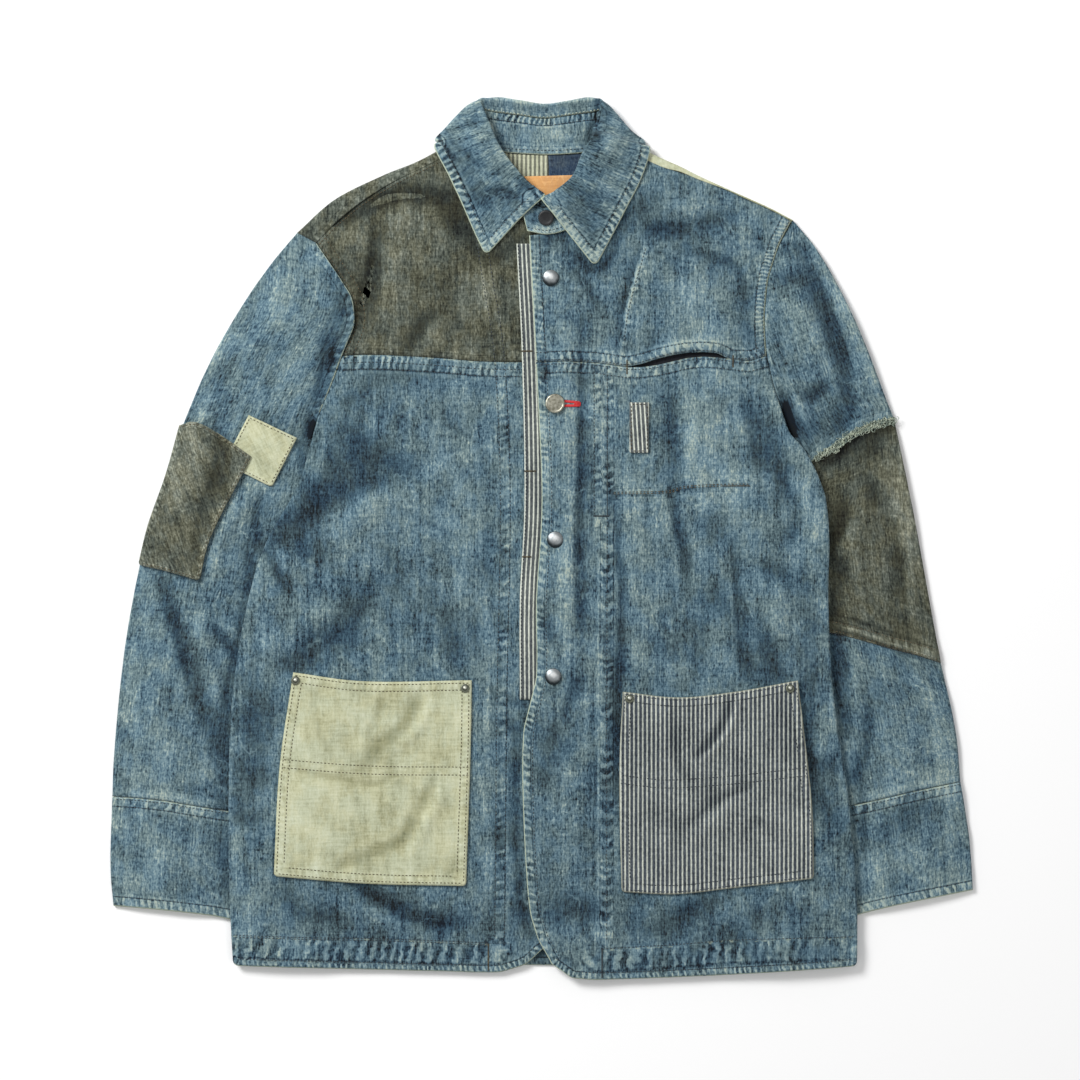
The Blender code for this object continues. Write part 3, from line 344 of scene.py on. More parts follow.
# %% Folds of the fronts
FOLDS_AND_SHADOWS["body"] = (
    (6.5, -2.4, -0.72, (-178, 276), (-150, 290), (-124, 299), (-84, 298)),
    (-8, 1.4, 0.16, (-168, 262), (-140, 276), (-110, 284)),
    (6.5, -2, -0.42, (-146, 276), (-148, 240), (-157, 210), (-170, 178)),
    (-6, -1.2, -0.3, (-181, 252), (-173, 234), (-160, 224)),
    (10, 1.4, 0.12, (-128, 268), (-132, 230), (-144, 190)),
    (-6.5, -1.8, -0.42, (-84, 200), (-100, 190), (-118, 164)),
    (7, 1, 0.14, (-104, 212), (-120, 190), (-132, 170)),
    (-5, -0.6, -0.42, (-76, 306), (-66, 276), (-54, 250), (-42, 246), (-26, 258), (-16, 268)),
    (10, -2.2, -0.5, (-182, 98), (-164, 82), (-146, 66), (-112, 54)),
    (-13, -2.6, -0.52, (-146, 66), (-172, 46), (-198, 28), (-222, 4), (-234, -4)),
    (7, -1, -0.24, (-176, 116), (-156, 126), (-136, 142)),
    (-12, 1.6, 0.12, (-150, 100), (-120, 84), (-96, 66)),
    (16, 2, 0.14, (-112, 30), (-144, 30), (-170, 14), (-180, -10)),
    (-3.5, -0.8, -0.22, (-144, 30), (-120, 24), (-92, 10), (-70, 0)),
    (3, -0.6, -0.24, (-84, 100), (-68, 92), (-54, 84)),
    (-7, 1.2, 0.16, (-196, 90), (-194, 60), (-202, 46)),
    (5, -2.2, -0.5, (-246, -4), (-234, -26), (-221, -48)),
    (-7, 1.6, 0.18, (-232, -12), (-216, -30), (-206, -50)),
    (5.5, -0.8, -0.26, (-139, -4), (-134, -20), (-126, -48)),
    (-9.5, -2.4, -0.5, (-152, -56), (-176, -80), (-197, -96), (-212, -112)),
    (12, 1.8, 0.12, (-172, -56), (-206, -76), (-236, -92)),
    (-22, -0.6, -0.12, (-150, -30), (-110, -60), (-86, -100)),
    (9, -0.8, -0.26, (-84, -62), (-80, -84), (-78, -110)),
    (-9, -0.8, -0.24, (-58, -60), (-54, -84), (-54, -112)),
    (4, -1.2, -0.32, (-48, 24), (-48, -16), (-46, -60)),
    (-13, -1, -0.44, (-256, -124), (-248, -156), (-246, -205)),
    (7, -1, -0.28, (-270, -247), (-252, -248), (-242, -242)),
    (-12, 0.8, 0.08, (-252, -216), (-254, -280), (-250, -340)),
    (6, -2.6, -0.75, (-166, -304), (-140, -318), (-110, -333), (-72, -340)),
    (-8, 1.6, 0.1, (-180, -314), (-140, -334), (-110, -346)),
    (9, -1.2, -0.34, (-228, -304), (-212, -328), (-176, -330)),
    (-9, 1, 0.1, (-80, -318), (-60, -322), (-50, -310)),
    (7, -0.8, -0.4, (-38, -236), (-37, -256), (-38, -270)),
    (-5, -1.4, -0.34, (-44, -132), (-30, -142), (-16, -142)),
    (7, -1.4, -0.5, (-34, -160), (-24, -168), (-20, -176)),
    (-4, -0.8, -0.7, (-21, -170), (-22, -225), (-20, -280), (-15, -330), (-7, -350)),
    (5, -0.6, -0.46, (18, 264), (33, 244), (48, 234), (60, 244), (72, 274)),
    (-5, -0.6, -0.6, (-6, 264), (8, 264), (26, 268)),
    (5, -1.4, -0.34, (24, 242), (38, 222), (50, 200)),
    (-7.5, -2.4, -0.62, (88, 270), (112, 272), (138, 275), (164, 284)),
    (9, 1.4, 0.16, (96, 288), (122, 290), (146, 292)),
    (-5, -1.6, -0.38, (122, 256), (144, 248), (166, 242), (178, 226), (182, 200)),
    (14, 1.4, 0.1, (112, 236), (136, 216), (160, 200)),
    (-4, -0.9, -0.26, (188, 274), (190, 264), (193, 254)),
    (3, -2.2, 0.1, (150, 312), (170, 303), (199, 290), (222, 279)),
    (-5, -1, -0.4, (4, 158), (5, 148), (4, 138)),
    (3.5, -1, -0.3, (74, 190), (73, 176), (75, 162)),
    (-4.5, -1, -0.36, (98, 182), (99, 172), (97, 164)),
    (12, 1, 0.16, (120, 178), (140, 178), (154, 172)),
    (-8, 0.8, 0.14, (136, 150), (150, 146), (160, 140)),
    (4.2, -2, -0.5, (35, 190), (35, 110), (34, 44), (32, -30), (31, -80)),
    (-9, 1.2, 0.12, (22, 210), (22, 150), (20, 70), (22, -60)),
    (3.6, -1.2, -0.44, (58, 66), (63, 28), (66, -10), (70, -40), (68, -90), (65, -150), (65, -230)),
    (-8, -0.4, -0.24, (48, 72), (49, 50), (50, 28)),
    (5, -1.2, -0.45, (32, -122), (25, -140), (18, -158)),
    (-13, -1, -0.28, (8, -156), (12, -186), (0, -214)),
    (5, -0.8, -0.4, (-3, -58), (4, -76), (8, -92)),
    (-9, -0.6, -0.24, (49, -190), (54, -234), (54, -270)),
    (10, 0.6, 0.08, (24, -230), (22, -270), (20, -300)),
    (-9, -2.2, -0.46, (113, 136), (117, 100), (118, 66), (117, 44)),
    (5, -2.2, -0.58, (113, 40), (119, 8), (125, -16), (127, -42)),
    (-18, 1.8, 0.16, (142, 128), (146, 96), (146, 64)),
    (6, -1.4, -0.36, (178, 122), (184, 90), (194, 62)),
    (-7.5, -2.6, -0.6, (192, 100), (200, 74), (212, 48), (224, 28)),
    (7, 1.6, 0.2, (194, 96), (200, 70), (206, 46)),
    (-9, -1, -0.3, (226, 20), (222, 8), (212, -2)),
    (12, 1.4, 0.14, (234, 56), (240, 10), (238, -40)),
    (-14, -1, -0.28, (134, 36), (152, 16), (162, -12)),
    (5.5, -2.2, -0.52, (167, -4), (172, -50), (174, -90), (180, -124)),
    (-9, 1.6, 0.22, (207, -38), (208, -60), (206, -84)),
    (9, -1, -0.28, (190, -26), (206, -30), (222, -34)),
    (-9, -2, -0.5, (196, -76), (202, -104), (212, -128)),
    (20, -0.6, -0.22, (100, -40), (104, -80), (104, -120)),
    (-12, -0.8, -0.26, (152, -36), (144, -64), (134, -90)),
    (7, -0.8, -0.22, (134, -126), (138, -104), (144, -84)),
    (-10, 1, 0.14, (76, 60), (84, 20), (86, -20)),
    (4.5, -2, -0.6, (228, -126), (231, -158), (235, -190), (243, -228)),
    (-8, -0.8, -0.34, (240, -196), (252, -196), (262, -188)),
    (8, 1.2, 0.14, (246, -130), (250, -160), (250, -180)),
    (-11, -0.8, -0.36, (104, -336), (132, -324), (148, -318)),
    (10, -0.6, -0.22, (190, -316), (180, -336), (164, -342)),
    (-10, 0.8, 0.12, (150, -336), (170, -322), (186, -314)),
    (10, -0.8, -0.44, (8, -328), (26, -326), (44, -328)),
    (-30, 0, 0.1, (120, 220), (160, 210)),
    (30, 0, -0.14, (-200, -330), (-100, -340), (0, -330), (120, -335), (240, -330)),
    (-7, 0, -0.26, (-165, 152), (-125, 150), (-85, 149)),
    (14, -0.6, -0.28, (-192, 72), (-170, 68), (-148, 60)),
    (-14, -1, -0.36, (-214, 6), (-198, -4), (-184, -16)),
    (9, -0.6, -0.5, (-94, 306), (-86, 290), (-76, 270)),
    (-11, -1.4, -0.46, (66, 266), (78, 284), (94, 295), (112, 290)),
    (12, -0.6, -0.2, (104, 246), (124, 228), (142, 212)),
    (-10, -0.8, -0.26, (174, 192), (186, 176), (196, 164)),
    (9, -1, -0.32, (-234, -108), (-206, -112), (-178, -108)),
    (-8, -1, -0.32, (174, -94), (184, -112), (198, -126)),
    (12, -0.8, -0.34, (232, -212), (248, -240), (256, -264)),
    (-9, 0, -0.16, (-266, -361), (-150, -363), (-30, -366)),
    (9, 0, -0.22, (30, -372), (160, -367), (272, -360)),
    (1.7, 0.5, 0.7, (90, 254), (76, 204), (72, 172)),
    (-2.6, -0.3, -0.36, (86, 254), (72, 204), (68, 172)),
    (1.8, 0.3, 0.18, (-60, 290), (-51, 230), (-41, 160)),
    (-2.4, -0.3, -0.25, (-57, 290), (-48, 230), (-38, 160)),
    (3, 0.3, -0.28, (-36, 40), (-37, -40), (-38, -180), (-39, -340)),
    (-3, 0.3, 0.2, (-46, 20), (-47, -60), (-48, -200), (-49, -330)),
    (3, 0.3, 0.24, (50, 0), (50, -100), (50, -240), (50, -345)),
    (-3, -0.3, -0.24, (60, 110), (60, 0), (60, -120), (60, -300)),
    (16, 0.6, 0.16, (206, 280), (200, 262), (206, 270)),
    (-8, 0.8, 0.32, (26, 120), (26, 60), (25, 0), (24, -110)),
    (5, -0.6, -0.3, (35, 10), (34, -50), (36, -90)),
    (-10, 0.4, 0.2, (-70, 60), (-64, 0), (-66, -60)),
    (14, -0.4, -0.26, (-190, 66), (-196, 40), (-204, 20)),
    (-26, -0.4, -0.14, (-170, 120), (-140, 100), (-120, 60)),
    (5, 0.6, 0.3, (98, 160), (128, 169), (158, 166)),
    (-12, -0.4, -0.24, (190, 80), (196, 66), (198, 56)),
    (12, 0.4, 0.18, (86, -20), (92, -50), (98, -86)),
    (-5, -0.8, -0.4, (73, -90), (69, -140), (67, -230)),
    (11, -0.4, -0.2, (-148, 240), (-146, 210), (-150, 190)),
    (-9, 0.4, 0.2, (-48, 248), (-46, 220), (-42, 190)),
    (10, -0.5, -0.3, (-262, -190), (-256, -205), (-252, -220)),
    (-9, -0.4, -0.26, (236, -48), (235, -100), (242, -130), (247, -164)),
    (8, 0.3, 0.22, (228, -176), (240, -184), (252, -188)),
    (-9, -0.4, -0.24, (-142, 270), (-150, 226), (-156, 196)),
    (7, -0.4, -0.22, (-112, 206), (-122, 190), (-128, 176)),
    (-9, -0.4, -0.2, (-164, 140), (-132, 140), (-100, 140)),
    (-6, -0.5, -0.26, (-195, 88), (-200, 70), (-206, 54)),
    (5, 0.6, 0.34, (196, 136), (203, 116), (208, 98)),
    (-9, 0.4, 0.16, (132, 84), (136, 44), (150, 20)),
    (8, 0.4, 0.2, (78, -50), (81, -90), (76, -122)),
    (-8, 0.3, 0.24, (42, -234), (52, -248)),
    (6, 0.3, 0.5, (48, -342), (54, -356)),
    (8, -0.4, -0.32, (18, 72), (18, 34), (17, 2)),
    (-5, -0.2, -0.28, (-11, -236), (-10, -256), (-6, -278)),
    (5, 0.2, 0.24, (112, 166), (134, 170), (152, 169)),
    (-50, 0, 0.13, (100, 130), (150, 60), (150, -90)),
    (9, -0.4, -0.3, (-172, 30), (-152, 45), (-122, 54)),
    (-6, -0.5, -0.36, (203, 98), (209, 78), (221, 58)),
    (9, 0.3, 0.24, (226, 54), (222, 36), (218, 14)),
    (-6, -0.5, -0.3, (157, -40), (162, -60), (166, -80)),
    (8, -0.3, -0.28, (-160, -66), (-168, -86), (-178, -104)),
    (-7, -0.2, -0.26, (-98, -36), (-92, -52)),
    (6, 0.2, 0.26, (-42, -148), (-30, -160)),
    (-1.5, -0.4, -0.5, (64, 40), (92, 38), (110, 42), (134, 44), (160, 46), (186, 48)),
    (12, -0.3, -0.24, (-264, -196), (-260, -235), (-258, -264)),
    (-8, -0.4, -0.22, (-236, -128), (-234, -145), (-238, -160)),
)
print("folds of the fronts:", len(FOLDS_AND_SHADOWS["body"]))

# %% [markdown]
# ## Folds of the collar and the pockets
# The fall is pale along its roll and has painted shade in the hollows beside it, the stand carries
# painted shadow where the tab turns under the collar, and the pockets sag into slanting troughs.

# %% Folds of the collar, the hem of the back and the pockets
FOLDS_AND_SHADOWS["fall"] = (
    (26, 0, -0.14, (-72, 330), (-50, 290)),
    (-26, 0, 0.12, (70, 330), (50, 290)),
    (-12, -0.4, -0.08, (-40, 302), (-24, 304), (-12, 306)),
    (5, 0.2, 0.55, (-62, 380), (-40, 386), (0, 382), (44, 386), (62, 380)),
    (-12, -0.4, -0.26, (-88, 342), (-78, 330), (-64, 320)),
    (-9, -1, -0.24, (-64, 302), (-44, 300), (-26, 306)),
    (7, -0.6, -0.34, (-22, 320), (-12, 306), (0, 300)),
    (-10, 0.8, 0.12, (-74, 330), (-60, 340), (-48, 352)),
    (5, -0.4, -0.24, (-60, 376), (-55, 362)),
    (-8, -0.8, -0.3, (20, 312), (40, 300), (56, 282)),
    (9, 0.8, 0.14, (56, 344), (66, 334), (76, 326)),
    (-6, -0.6, -0.42, (60, 376), (54, 362), (44, 342)),
    (6, -0.8, -0.3, (26, 290), (40, 272), (48, 258)),
    (-5, 0, 0.6, (-52, 258), (-49, 250)),
    (5, 0, 0.65, (50, 252), (48, 243)),
    (5, 0.2, 0.3, (-40, 385), (-20, 383), (0, 382)),
    (2.5, 0, 0.35, (-47, 252), (-30, 266), (-14, 282)),
    (-2.5, 0, 0.3, (46, 246), (28, 262), (12, 282)),
    (4, -0.5, -0.85, (49, 386), (48, 370), (45, 354)),
    (-3, 0.2, 0.34, (-45, 350), (-30, 332), (-12, 312)),
    (6, 0.2, 0.26, (60, 350), (57, 336), (50, 322)),
    (-9, -0.5, -0.26, (-84, 348), (-70, 340), (-54, 326)),
    (7, -0.4, -0.26, (-44, 298), (-28, 296), (-16, 294)),
    (-6, 0.4, 0.3, (-54, 316), (-38, 312), (-18, 307)),
    (7, -0.4, -0.26, (44, 316), (56, 322), (64, 328)),
)
FOLDS_AND_SHADOWS["back"] = (
    (14, 0, -0.5, (-10, -362), (6, -362), (22, -364)),
)
FOLDS_AND_SHADOWS["stand"] = (
    (7, -0.6, -0.6, (50, 374), (45, 356), (38, 342)),
    (-10, 0, 0.22, (-40, 362), (-20, 358), (0, 354), (30, 358), (44, 362)),
    (3, 0.5, 0.22, (2, 360), (8, 350), (14, 358), (20, 346), (24, 356)),
    (-4, 0, -0.7, (-14, 287), (-7, 293), (0, 299)),
    (3, 0, 0.35, (-12, 284), (-6, 287), (0, 286)),
    (-7, 0, 0.34, (-12, 272), (0, 270), (16, 274)),
    (-5, 0, -0.7, (-15, 274), (-8, 281), (0, 290)),
    (-4, -0.4, -0.36, (48, 384), (49, 370), (47, 356)),
)
FOLDS_AND_SHADOWS["pocket"] = (
    (5.5, -1.4, -0.4, (-110, -138), (-122, -163), (-141, -177), (-158, -198)),
    (-6, 1, 0.1, (-96, -148), (-112, -172), (-136, -188)),
    (4, -0.8, -0.26, (-138, -136), (-145, -158), (-150, -172)),
    (-3.2, -0.8, -0.24, (-200, -136), (-192, -172), (-180, -194)),
    (5.5, -1.4, -0.42, (-96, -214), (-110, -239), (-122, -262), (-146, -272), (-172, -284)),
    (-6, 1, 0.1, (-84, -222), (-98, -246), (-108, -270)),
    (3, -0.6, -0.22, (-164, -214), (-146, -216), (-130, -210)),
    (-3.2, -2.4, -0.9, (166, -138), (161, -158), (150, -176), (136, -190)),
    (3, 1.4, 0.3, (172, -138), (167, -160), (156, -178), (142, -192)),
    (-8, -0.5, -0.24, (210, -136), (217, -160), (222, -190)),
    (11, -0.5, -0.13, (-104, -146), (-128, -178), (-160, -192), (-196, -176)),
    (-3, -0.8, -0.3, (-212, -203), (-190, -207), (-166, -211)),
    (5, -1, -0.38, (114, -140), (117, -190), (128, -212)),
    (-4.5, -1.2, -0.4, (184, -216), (152, -230), (128, -250)),
    (5, 0.9, 0.14, (176, -226), (150, -244), (134, -262)),
    (-4.5, -0.8, -0.28, (118, -246), (121, -262), (120, -276)),
    (5, -0.8, -0.24, (198, -252), (184, -246), (178, -262)),
)
print("folds and worn places in all:", sum(map(len, FOLDS_AND_SHADOWS.values())))

# %% [markdown]
# ## Height and shade of the folds
# Both values of a row fade in and out along it and fall off on either side, so no fold starts or
# stops sharply. Where dark folds cross, the painted shade is held back, except in the painted black
# shadow of the gaps at the armpits. All cloth is a little uneven as well, from slow waves in many
# directions.

# %% Folds at a spot
WIDE_FLANK, STEEP_FLANK = 1.3, 0.7     # half widths of the two flanks of a fold
RELIEF, DEPTH = 1.3, 1.35              # how strongly rises and shades are taken
# DARKEST holds back painted shade where folds cross; only the painted black shadow at the armpits goes
# deeper
DARKEST = 0.60                         # shade where folds cross, short of a hole
FADE = 0.07                            # a row starts this share into its own fading


def folds_at(spots, part):
    """Rise and shade of the cloth at plan spots, from the rows of one part of the jacket."""
    rise, shade = np.zeros((2, len(spots)))
    for width, rises, shades, *path in FOLDS_AND_SHADOWS.get(part, ()):
        line = through(path, 8)
        reach = 2.5 * abs(width)
        close = ((spots > line.min(0) - reach) & (spots < line.max(0) + reach)).all(1)
        if close.any():
            gap, run, turn = nearest(spots[close], line)
            wide = abs(width) * np.where(turn * width > 0, WIDE_FLANK, STEEP_FLANK)
            share = run / length_of(line)
            along = np.sin(math.pi * np.clip(FADE + (1 - 2 * FADE) * share, 0, 1)) ** 0.6
            near = along * np.exp(-(gap / wide) ** 2)
            rise[close] += RELIEF * rises * near
            shade[close] += DEPTH * shades * near
    soft = DARKEST * np.tanh(shade / DARKEST)
    # the deepest rows keep their full painted shadow, for the black gaps at the armpits
    deep_shade = smooth(1.25, 2.1, -shade)
    return rise, np.where(shade < 0, soft + deep_shade * (shade - soft), shade)


RIPPLES = [(random.Random(7 + k).uniform(24, 62), random.Random(40 + k).uniform(0, math.pi))
           for k in range(9)]          # length and direction of each slow wave


def ripple_at(spots):
    """Slow unevenness of cloth that has been washed, about 1 either way."""
    total = np.zeros(len(spots))
    for k, (wave, angle) in enumerate(RIPPLES):
        along = spots[:, 0] * math.cos(angle) + spots[:, 1] * math.sin(angle)
        total += np.sin(2 * math.pi * along / wave + 3 * k + 1.4 * np.sin(spots[:, 1] / 45 + k))
    return total / 4


print("slow waves from", [round(wave) for wave, _ in RIPPLES], "mm long")

# %% [markdown]
# ## Seams that pucker
# A washed seam shrinks more than the cloth beside it, so it puckers into rungs, and the dye wears
# off the top of each rung. A band holds one such strip: the line it starts from, its width, the
# length of a rung and how bare its edge is worn. Two values go to the material with each point:
# how far across a band it is, and how many rungs along, with the strength of the rungs.

# %% Bands along seams and edges
Band = namedtuple("Band", "line width rung side bare lift ladder")
SLANT = 0.35       # how far a rung leans, in rungs across a band


def band(line, width=8.5, rung=7.0, side=0, bare=0.0, lift=0.35, ladder=0.6):
    """A band on one side of a line: side 1 is its left, -1 its right and 0 both."""
    return Band(np.asarray(line, float), width, rung, side, bare, lift, ladder)


def band_fields(spots, bands):
    """Values of the nearest band at each spot, and how much the seam's layers lift it."""
    across = np.full(len(spots), 3.0)
    rungs, bare, ladder, lift = np.zeros((4, len(spots)))
    for k, one in enumerate(bands):
        gap, run, turn = nearest(spots, one.line)
        share = gap / one.width
        if one.side:
            share = np.where((turn * one.side > 0) | (gap < 0.4), share, 3.0)
        closer = share < across
        across = np.where(closer, share, across)
        uneven = 0.45 * np.sin(run / 29 + 2 * k) + 0.30 * np.sin(run / 13 + k)
        rungs = np.where(closer, run / one.rung + uneven + SLANT * share, rungs)
        bare = np.where(closer, one.bare, bare)
        ladder = np.where(closer, one.ladder, ladder)
        lift = np.maximum(lift, one.lift * (1 - smooth(0.9, 1.2, share)))
    return {"across": across, "rungs": rungs, "bare": bare, "ladder": ladder}, lift


def pucker(values):
    """Height of the rungs in a band."""
    inside = np.clip(values["across"] * (1.05 - values["across"]) * 4, 0, 1)
    return 0.45 * values["ladder"] * inside * np.cos(2 * math.pi * values["rungs"])


print("a seam band is", band(((0, 0), (1, 0))).width, "mm wide")

# %% [markdown]
# ## Cutting and laying a piece
# A cut piece starts as a flat grid. Its four sides are set on the outline and the inside is filled
# in between them, so the rows run with the sides as threads do. Each point is then lifted to the
# height where the cloth rests. The Solidify modifier gives the sheet its thickness.

# %% From four sides to a grid
def filled(south, east, north, west):
    """Grid of plan spots between four sides; the sides run west to east and south to north."""
    u = np.linspace(0, 1, len(south))[None, :, None]
    v = np.linspace(0, 1, len(west))[:, None, None]
    return ((1 - v) * south[None] + v * north[None] + (1 - u) * west[:, None] + u * east[:, None]
            - (1 - u) * (1 - v) * south[0] - u * (1 - v) * south[-1]
            - (1 - u) * v * north[0] - u * v * north[-1])


def grid_from_sides(sides, pitch):
    """Grid over four sides, each a line or a pair of lines that meet where the rows should match."""
    def divided(pair, counts):
        parts = [spread(part, count) for part, count in zip(pair, counts)]
        return np.vstack([parts[0]] + [part[1:] for part in parts[1:]])
    pairs = [side if isinstance(side, list) else [side] for side in sides]
    south, east, north, west = pairs
    cols = [round(max(length_of(south[0]), length_of(north[0])) / pitch)]
    rows = [max(2, round(max(length_of(e), length_of(w)) / pitch)) for e, w in zip(east, west)]
    return filled(divided(south, cols), divided(east, rows), divided(north, cols), divided(west, rows))


def straight(*corners):
    """Sides of a small piece from its four corners: south-west, south-east, north-east, north-west."""
    sw, se, ne, nw = [np.array(c, float) for c in corners]
    return (np.array([sw, se]), np.array([se, ne]), np.array([nw, ne]), np.array([sw, nw]))


def rounded(grid, row, col, reach):
    """A grid with one corner rounded off; row and col are 0 or -1."""
    corner = grid[row, col].copy()
    ways = []
    for line in (grid[row, ::-1] if col else grid[row], grid[::-1, col] if row else grid[:, col]):
        far = line[np.linalg.norm(line - corner, axis=1).searchsorted(reach)]
        ways.append((far - corner) / np.linalg.norm(far - corner))
    base = np.stack(ways)[:, :2]
    parts = (grid[..., :2] - corner[:2]) @ np.linalg.inv(base)
    p, q = [np.clip(1 - parts[..., k] / reach, 0, 1) for k in (0, 1)]
    moved = np.stack([p - p * np.sqrt(1 - q * q / 2), q - q * np.sqrt(1 - p * p / 2)], axis=-1)
    result = grid.copy()
    result[..., :2] += reach * moved @ base
    return result


def grid_on_solid(node, corners, pitch, waist=None, soft=6):
    """Grid over a solid's outline; corners run south-west, south-east, north-east, north-west."""
    loop = outline(node)
    sw, se, ne, nw = corners
    south = softened(side_between(loop, sw, se), 4)
    east = softened(side_between(loop, se, ne), soft)
    north = softened(side_between(loop, ne, nw), 3)[::-1]
    west = softened(side_between(loop, nw, sw), soft)[::-1]
    if waist:
        cut_w, cut_e = [int(np.hypot(*(line - spot).T).argmin()) for line, spot in
                        ((west, waist[0]), (east, waist[1]))]
        west, east = [west[:cut_w + 1], west[cut_w:]], [east[:cut_e + 1], east[cut_e:]]
    return grid_from_sides((south, east, north, west), pitch)


def sides_of(grid):
    """The four sides of a grid as lines."""
    return {"south": grid[0], "east": grid[:, -1], "north": grid[-1], "west": grid[:, 0]}


def pulled(grid, centre, reach, by):
    """How far each spot moves when the cloth is pulled at one place."""
    gap = np.linalg.norm(grid - centre, axis=2)[..., None]
    return np.exp(-(gap / reach) ** 2) * np.array(by, float)


print("a pocket as a grid:", grid_from_sides(straight((0, 0), (160, 0), (160, 180), (0, 180)), 2.2).shape)

# %% [markdown]
# ## From a grid to cloth
# The grid becomes a mesh that carries its grain and the values of its bands. Each finished sheet is
# kept as a search tree, so that the pieces laid after it come to rest on it.

# %% From a grid to a mesh with its grain
def mesh_of(bm, name):
    """A bmesh as a mesh."""
    mesh = bpy.data.meshes.new(name)
    bm.to_mesh(mesh)
    bm.free()
    return mesh


def as_mesh(name, grid, grain, values):
    """A grid of points in space as a mesh, with its grain as a UV map and values on its points."""
    rows, cols = grid.shape[:2]
    bm = bmesh.new()
    bmesh.ops.create_grid(bm, x_segments=cols - 1, y_segments=rows - 1, size=1)
    mesh = mesh_of(bm, name)
    mesh.vertices.foreach_set("co", (grid * MM).astype(np.float32).ravel())
    corner = np.empty(len(mesh.loops), np.int32)
    mesh.loops.foreach_get("vertex_index", corner)
    flat = (grain.reshape(-1, 2) * MM).astype(np.float32)
    mesh.uv_layers.new(name="grain").data.foreach_set("uv", flat[corner].ravel())
    for label, value in values.items():
        layer = mesh.attributes.new(label, "FLOAT", "POINT")
        layer.data.foreach_set("value", np.asarray(value, np.float32).ravel())
    mesh.shade_smooth()
    mesh.update()
    return mesh


def grain_along(grid):
    """Grain that follows the rows and columns of a bent piece, such as a sleeve."""
    middle = grid.shape[1] // 2
    up = np.broadcast_to(runs_of(grid[:, middle, :2])[:, None], grid.shape[:2])
    over = runs_across(grid[..., :2])
    return np.stack([over - over[:, middle:middle + 1], up], axis=2)


def show(name, mesh, wall, finish):
    """A mesh as an object with its wall and its material."""
    piece = bpy.data.objects.new(name, mesh)
    bpy.context.scene.collection.objects.link(piece)
    mesh.materials.append(finish)
    if wall:
        thick = piece.modifiers.new("wall", "SOLIDIFY")
        thick.thickness = wall * MM
        thick.offset = -1
    return piece


print("a denim sheet is", WALL, "mm thick and a pocket", THIN, "mm")

# %% Placing and laying a sheet
tops = {}          # search trees over the finished cloth, by piece
sheets = {}        # the grids of points, by piece


def placed(piece, finish, *nodes):
    """Attach a piece to the root and hide the solids that it stands for. Its finish is not used."""
    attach(piece, "root")
    if nodes:
        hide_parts(*nodes)


def declare(piece, finish, node, flat=None):
    """Place a sheet; every sheet of this jacket is laid flat. The cut size, flat, is not used."""
    placed(piece, finish, node)
    if flat is None:
        size = np.ptp(np.array([v.co for v in piece.data.vertices]), axis=0)
        flat = [float(side) for side in size[:2]]


def lay(name, node, grid, finish, part=None, over=(), bands=(), wall=WALL, grain=None, ripple=0.3,
        shade=0.0):
    """Lay a cut piece on its solid and over other pieces, with folds, puckers, wear and painted shade."""
    rows, cols = grid.shape[:2]
    spots = grid.reshape(-1, 2)
    rest = eased(landing_or_near(tree_of(node), spots).reshape(rows, cols), SETTLING).ravel()
    values, lift = band_fields(spots, bands)
    slow = ripple_at(spots)
    rise, shades = folds_at(spots, part)
    heights = rest + rise + ripple * slow + lift + pucker(values)
    for under in over:
        floor = landing(tops[under], spots)
        heights = np.fmax(heights, floor + wall + AIR)
    heights = np.maximum(heights, wall)
    # the cuffs' tone, the wear and painted shade of the folds and the tone of the slow waves
    values["worn"] = shade + shades + UNEVEN * slow
    points = np.concatenate([spots, heights[:, None]], axis=1).reshape(rows, cols, 3)
    mesh = as_mesh(name, points, grid if grain is None else grain, values)
    bm = bmesh.new()
    bm.from_mesh(mesh)
    tops[name] = BVHTree.FromBMesh(bm)
    bm.free()
    sheets[name] = points
    declare(show(name, mesh, wall, finish), finish, node)
    print(f"{name}: {rows} x {cols} points, {heights.min():.1f} to {heights.max():.1f} mm high")


print("ready to lay cloth")

# %% [markdown]
# ## Writing a material
# A material here is arithmetic on a few signals: the grain of the cloth, the bands along its
# seams and how worn it is. The class below wraps a socket, so that a plain expression adds the
# Math nodes, and one method adds any other node with its settings and the values of its sockets.

# %% Shader arithmetic
class Link:
    """An output socket with arithmetic."""

    def __init__(self, look, socket):
        self.look, self.socket = look, socket

    def _with(self, operation, first, second):
        return self.look.add("ShaderNodeMath", {"operation": operation}, {0: first, 1: second})

    def __add__(self, other):
        return self._with("ADD", self, other)

    def __radd__(self, other):
        return self._with("ADD", other, self)

    def __sub__(self, other):
        return self._with("SUBTRACT", self, other)

    def __rsub__(self, other):
        return self._with("SUBTRACT", other, self)

    def __mul__(self, other):
        return self._with("MULTIPLY", self, other)

    def __rmul__(self, other):
        return self._with("MULTIPLY", other, self)

    def cosine(self):
        return self.look.add("ShaderNodeMath", {"operation": "COSINE"}, {0: self})

    def step(self, low, high):
        """Smooth step from 0 at low to 1 at high."""
        return self.look.add("ShaderNodeMapRange", {"interpolation_type": "SMOOTHSTEP"},
                             {"Value": self, "From Min": low, "From Max": high})


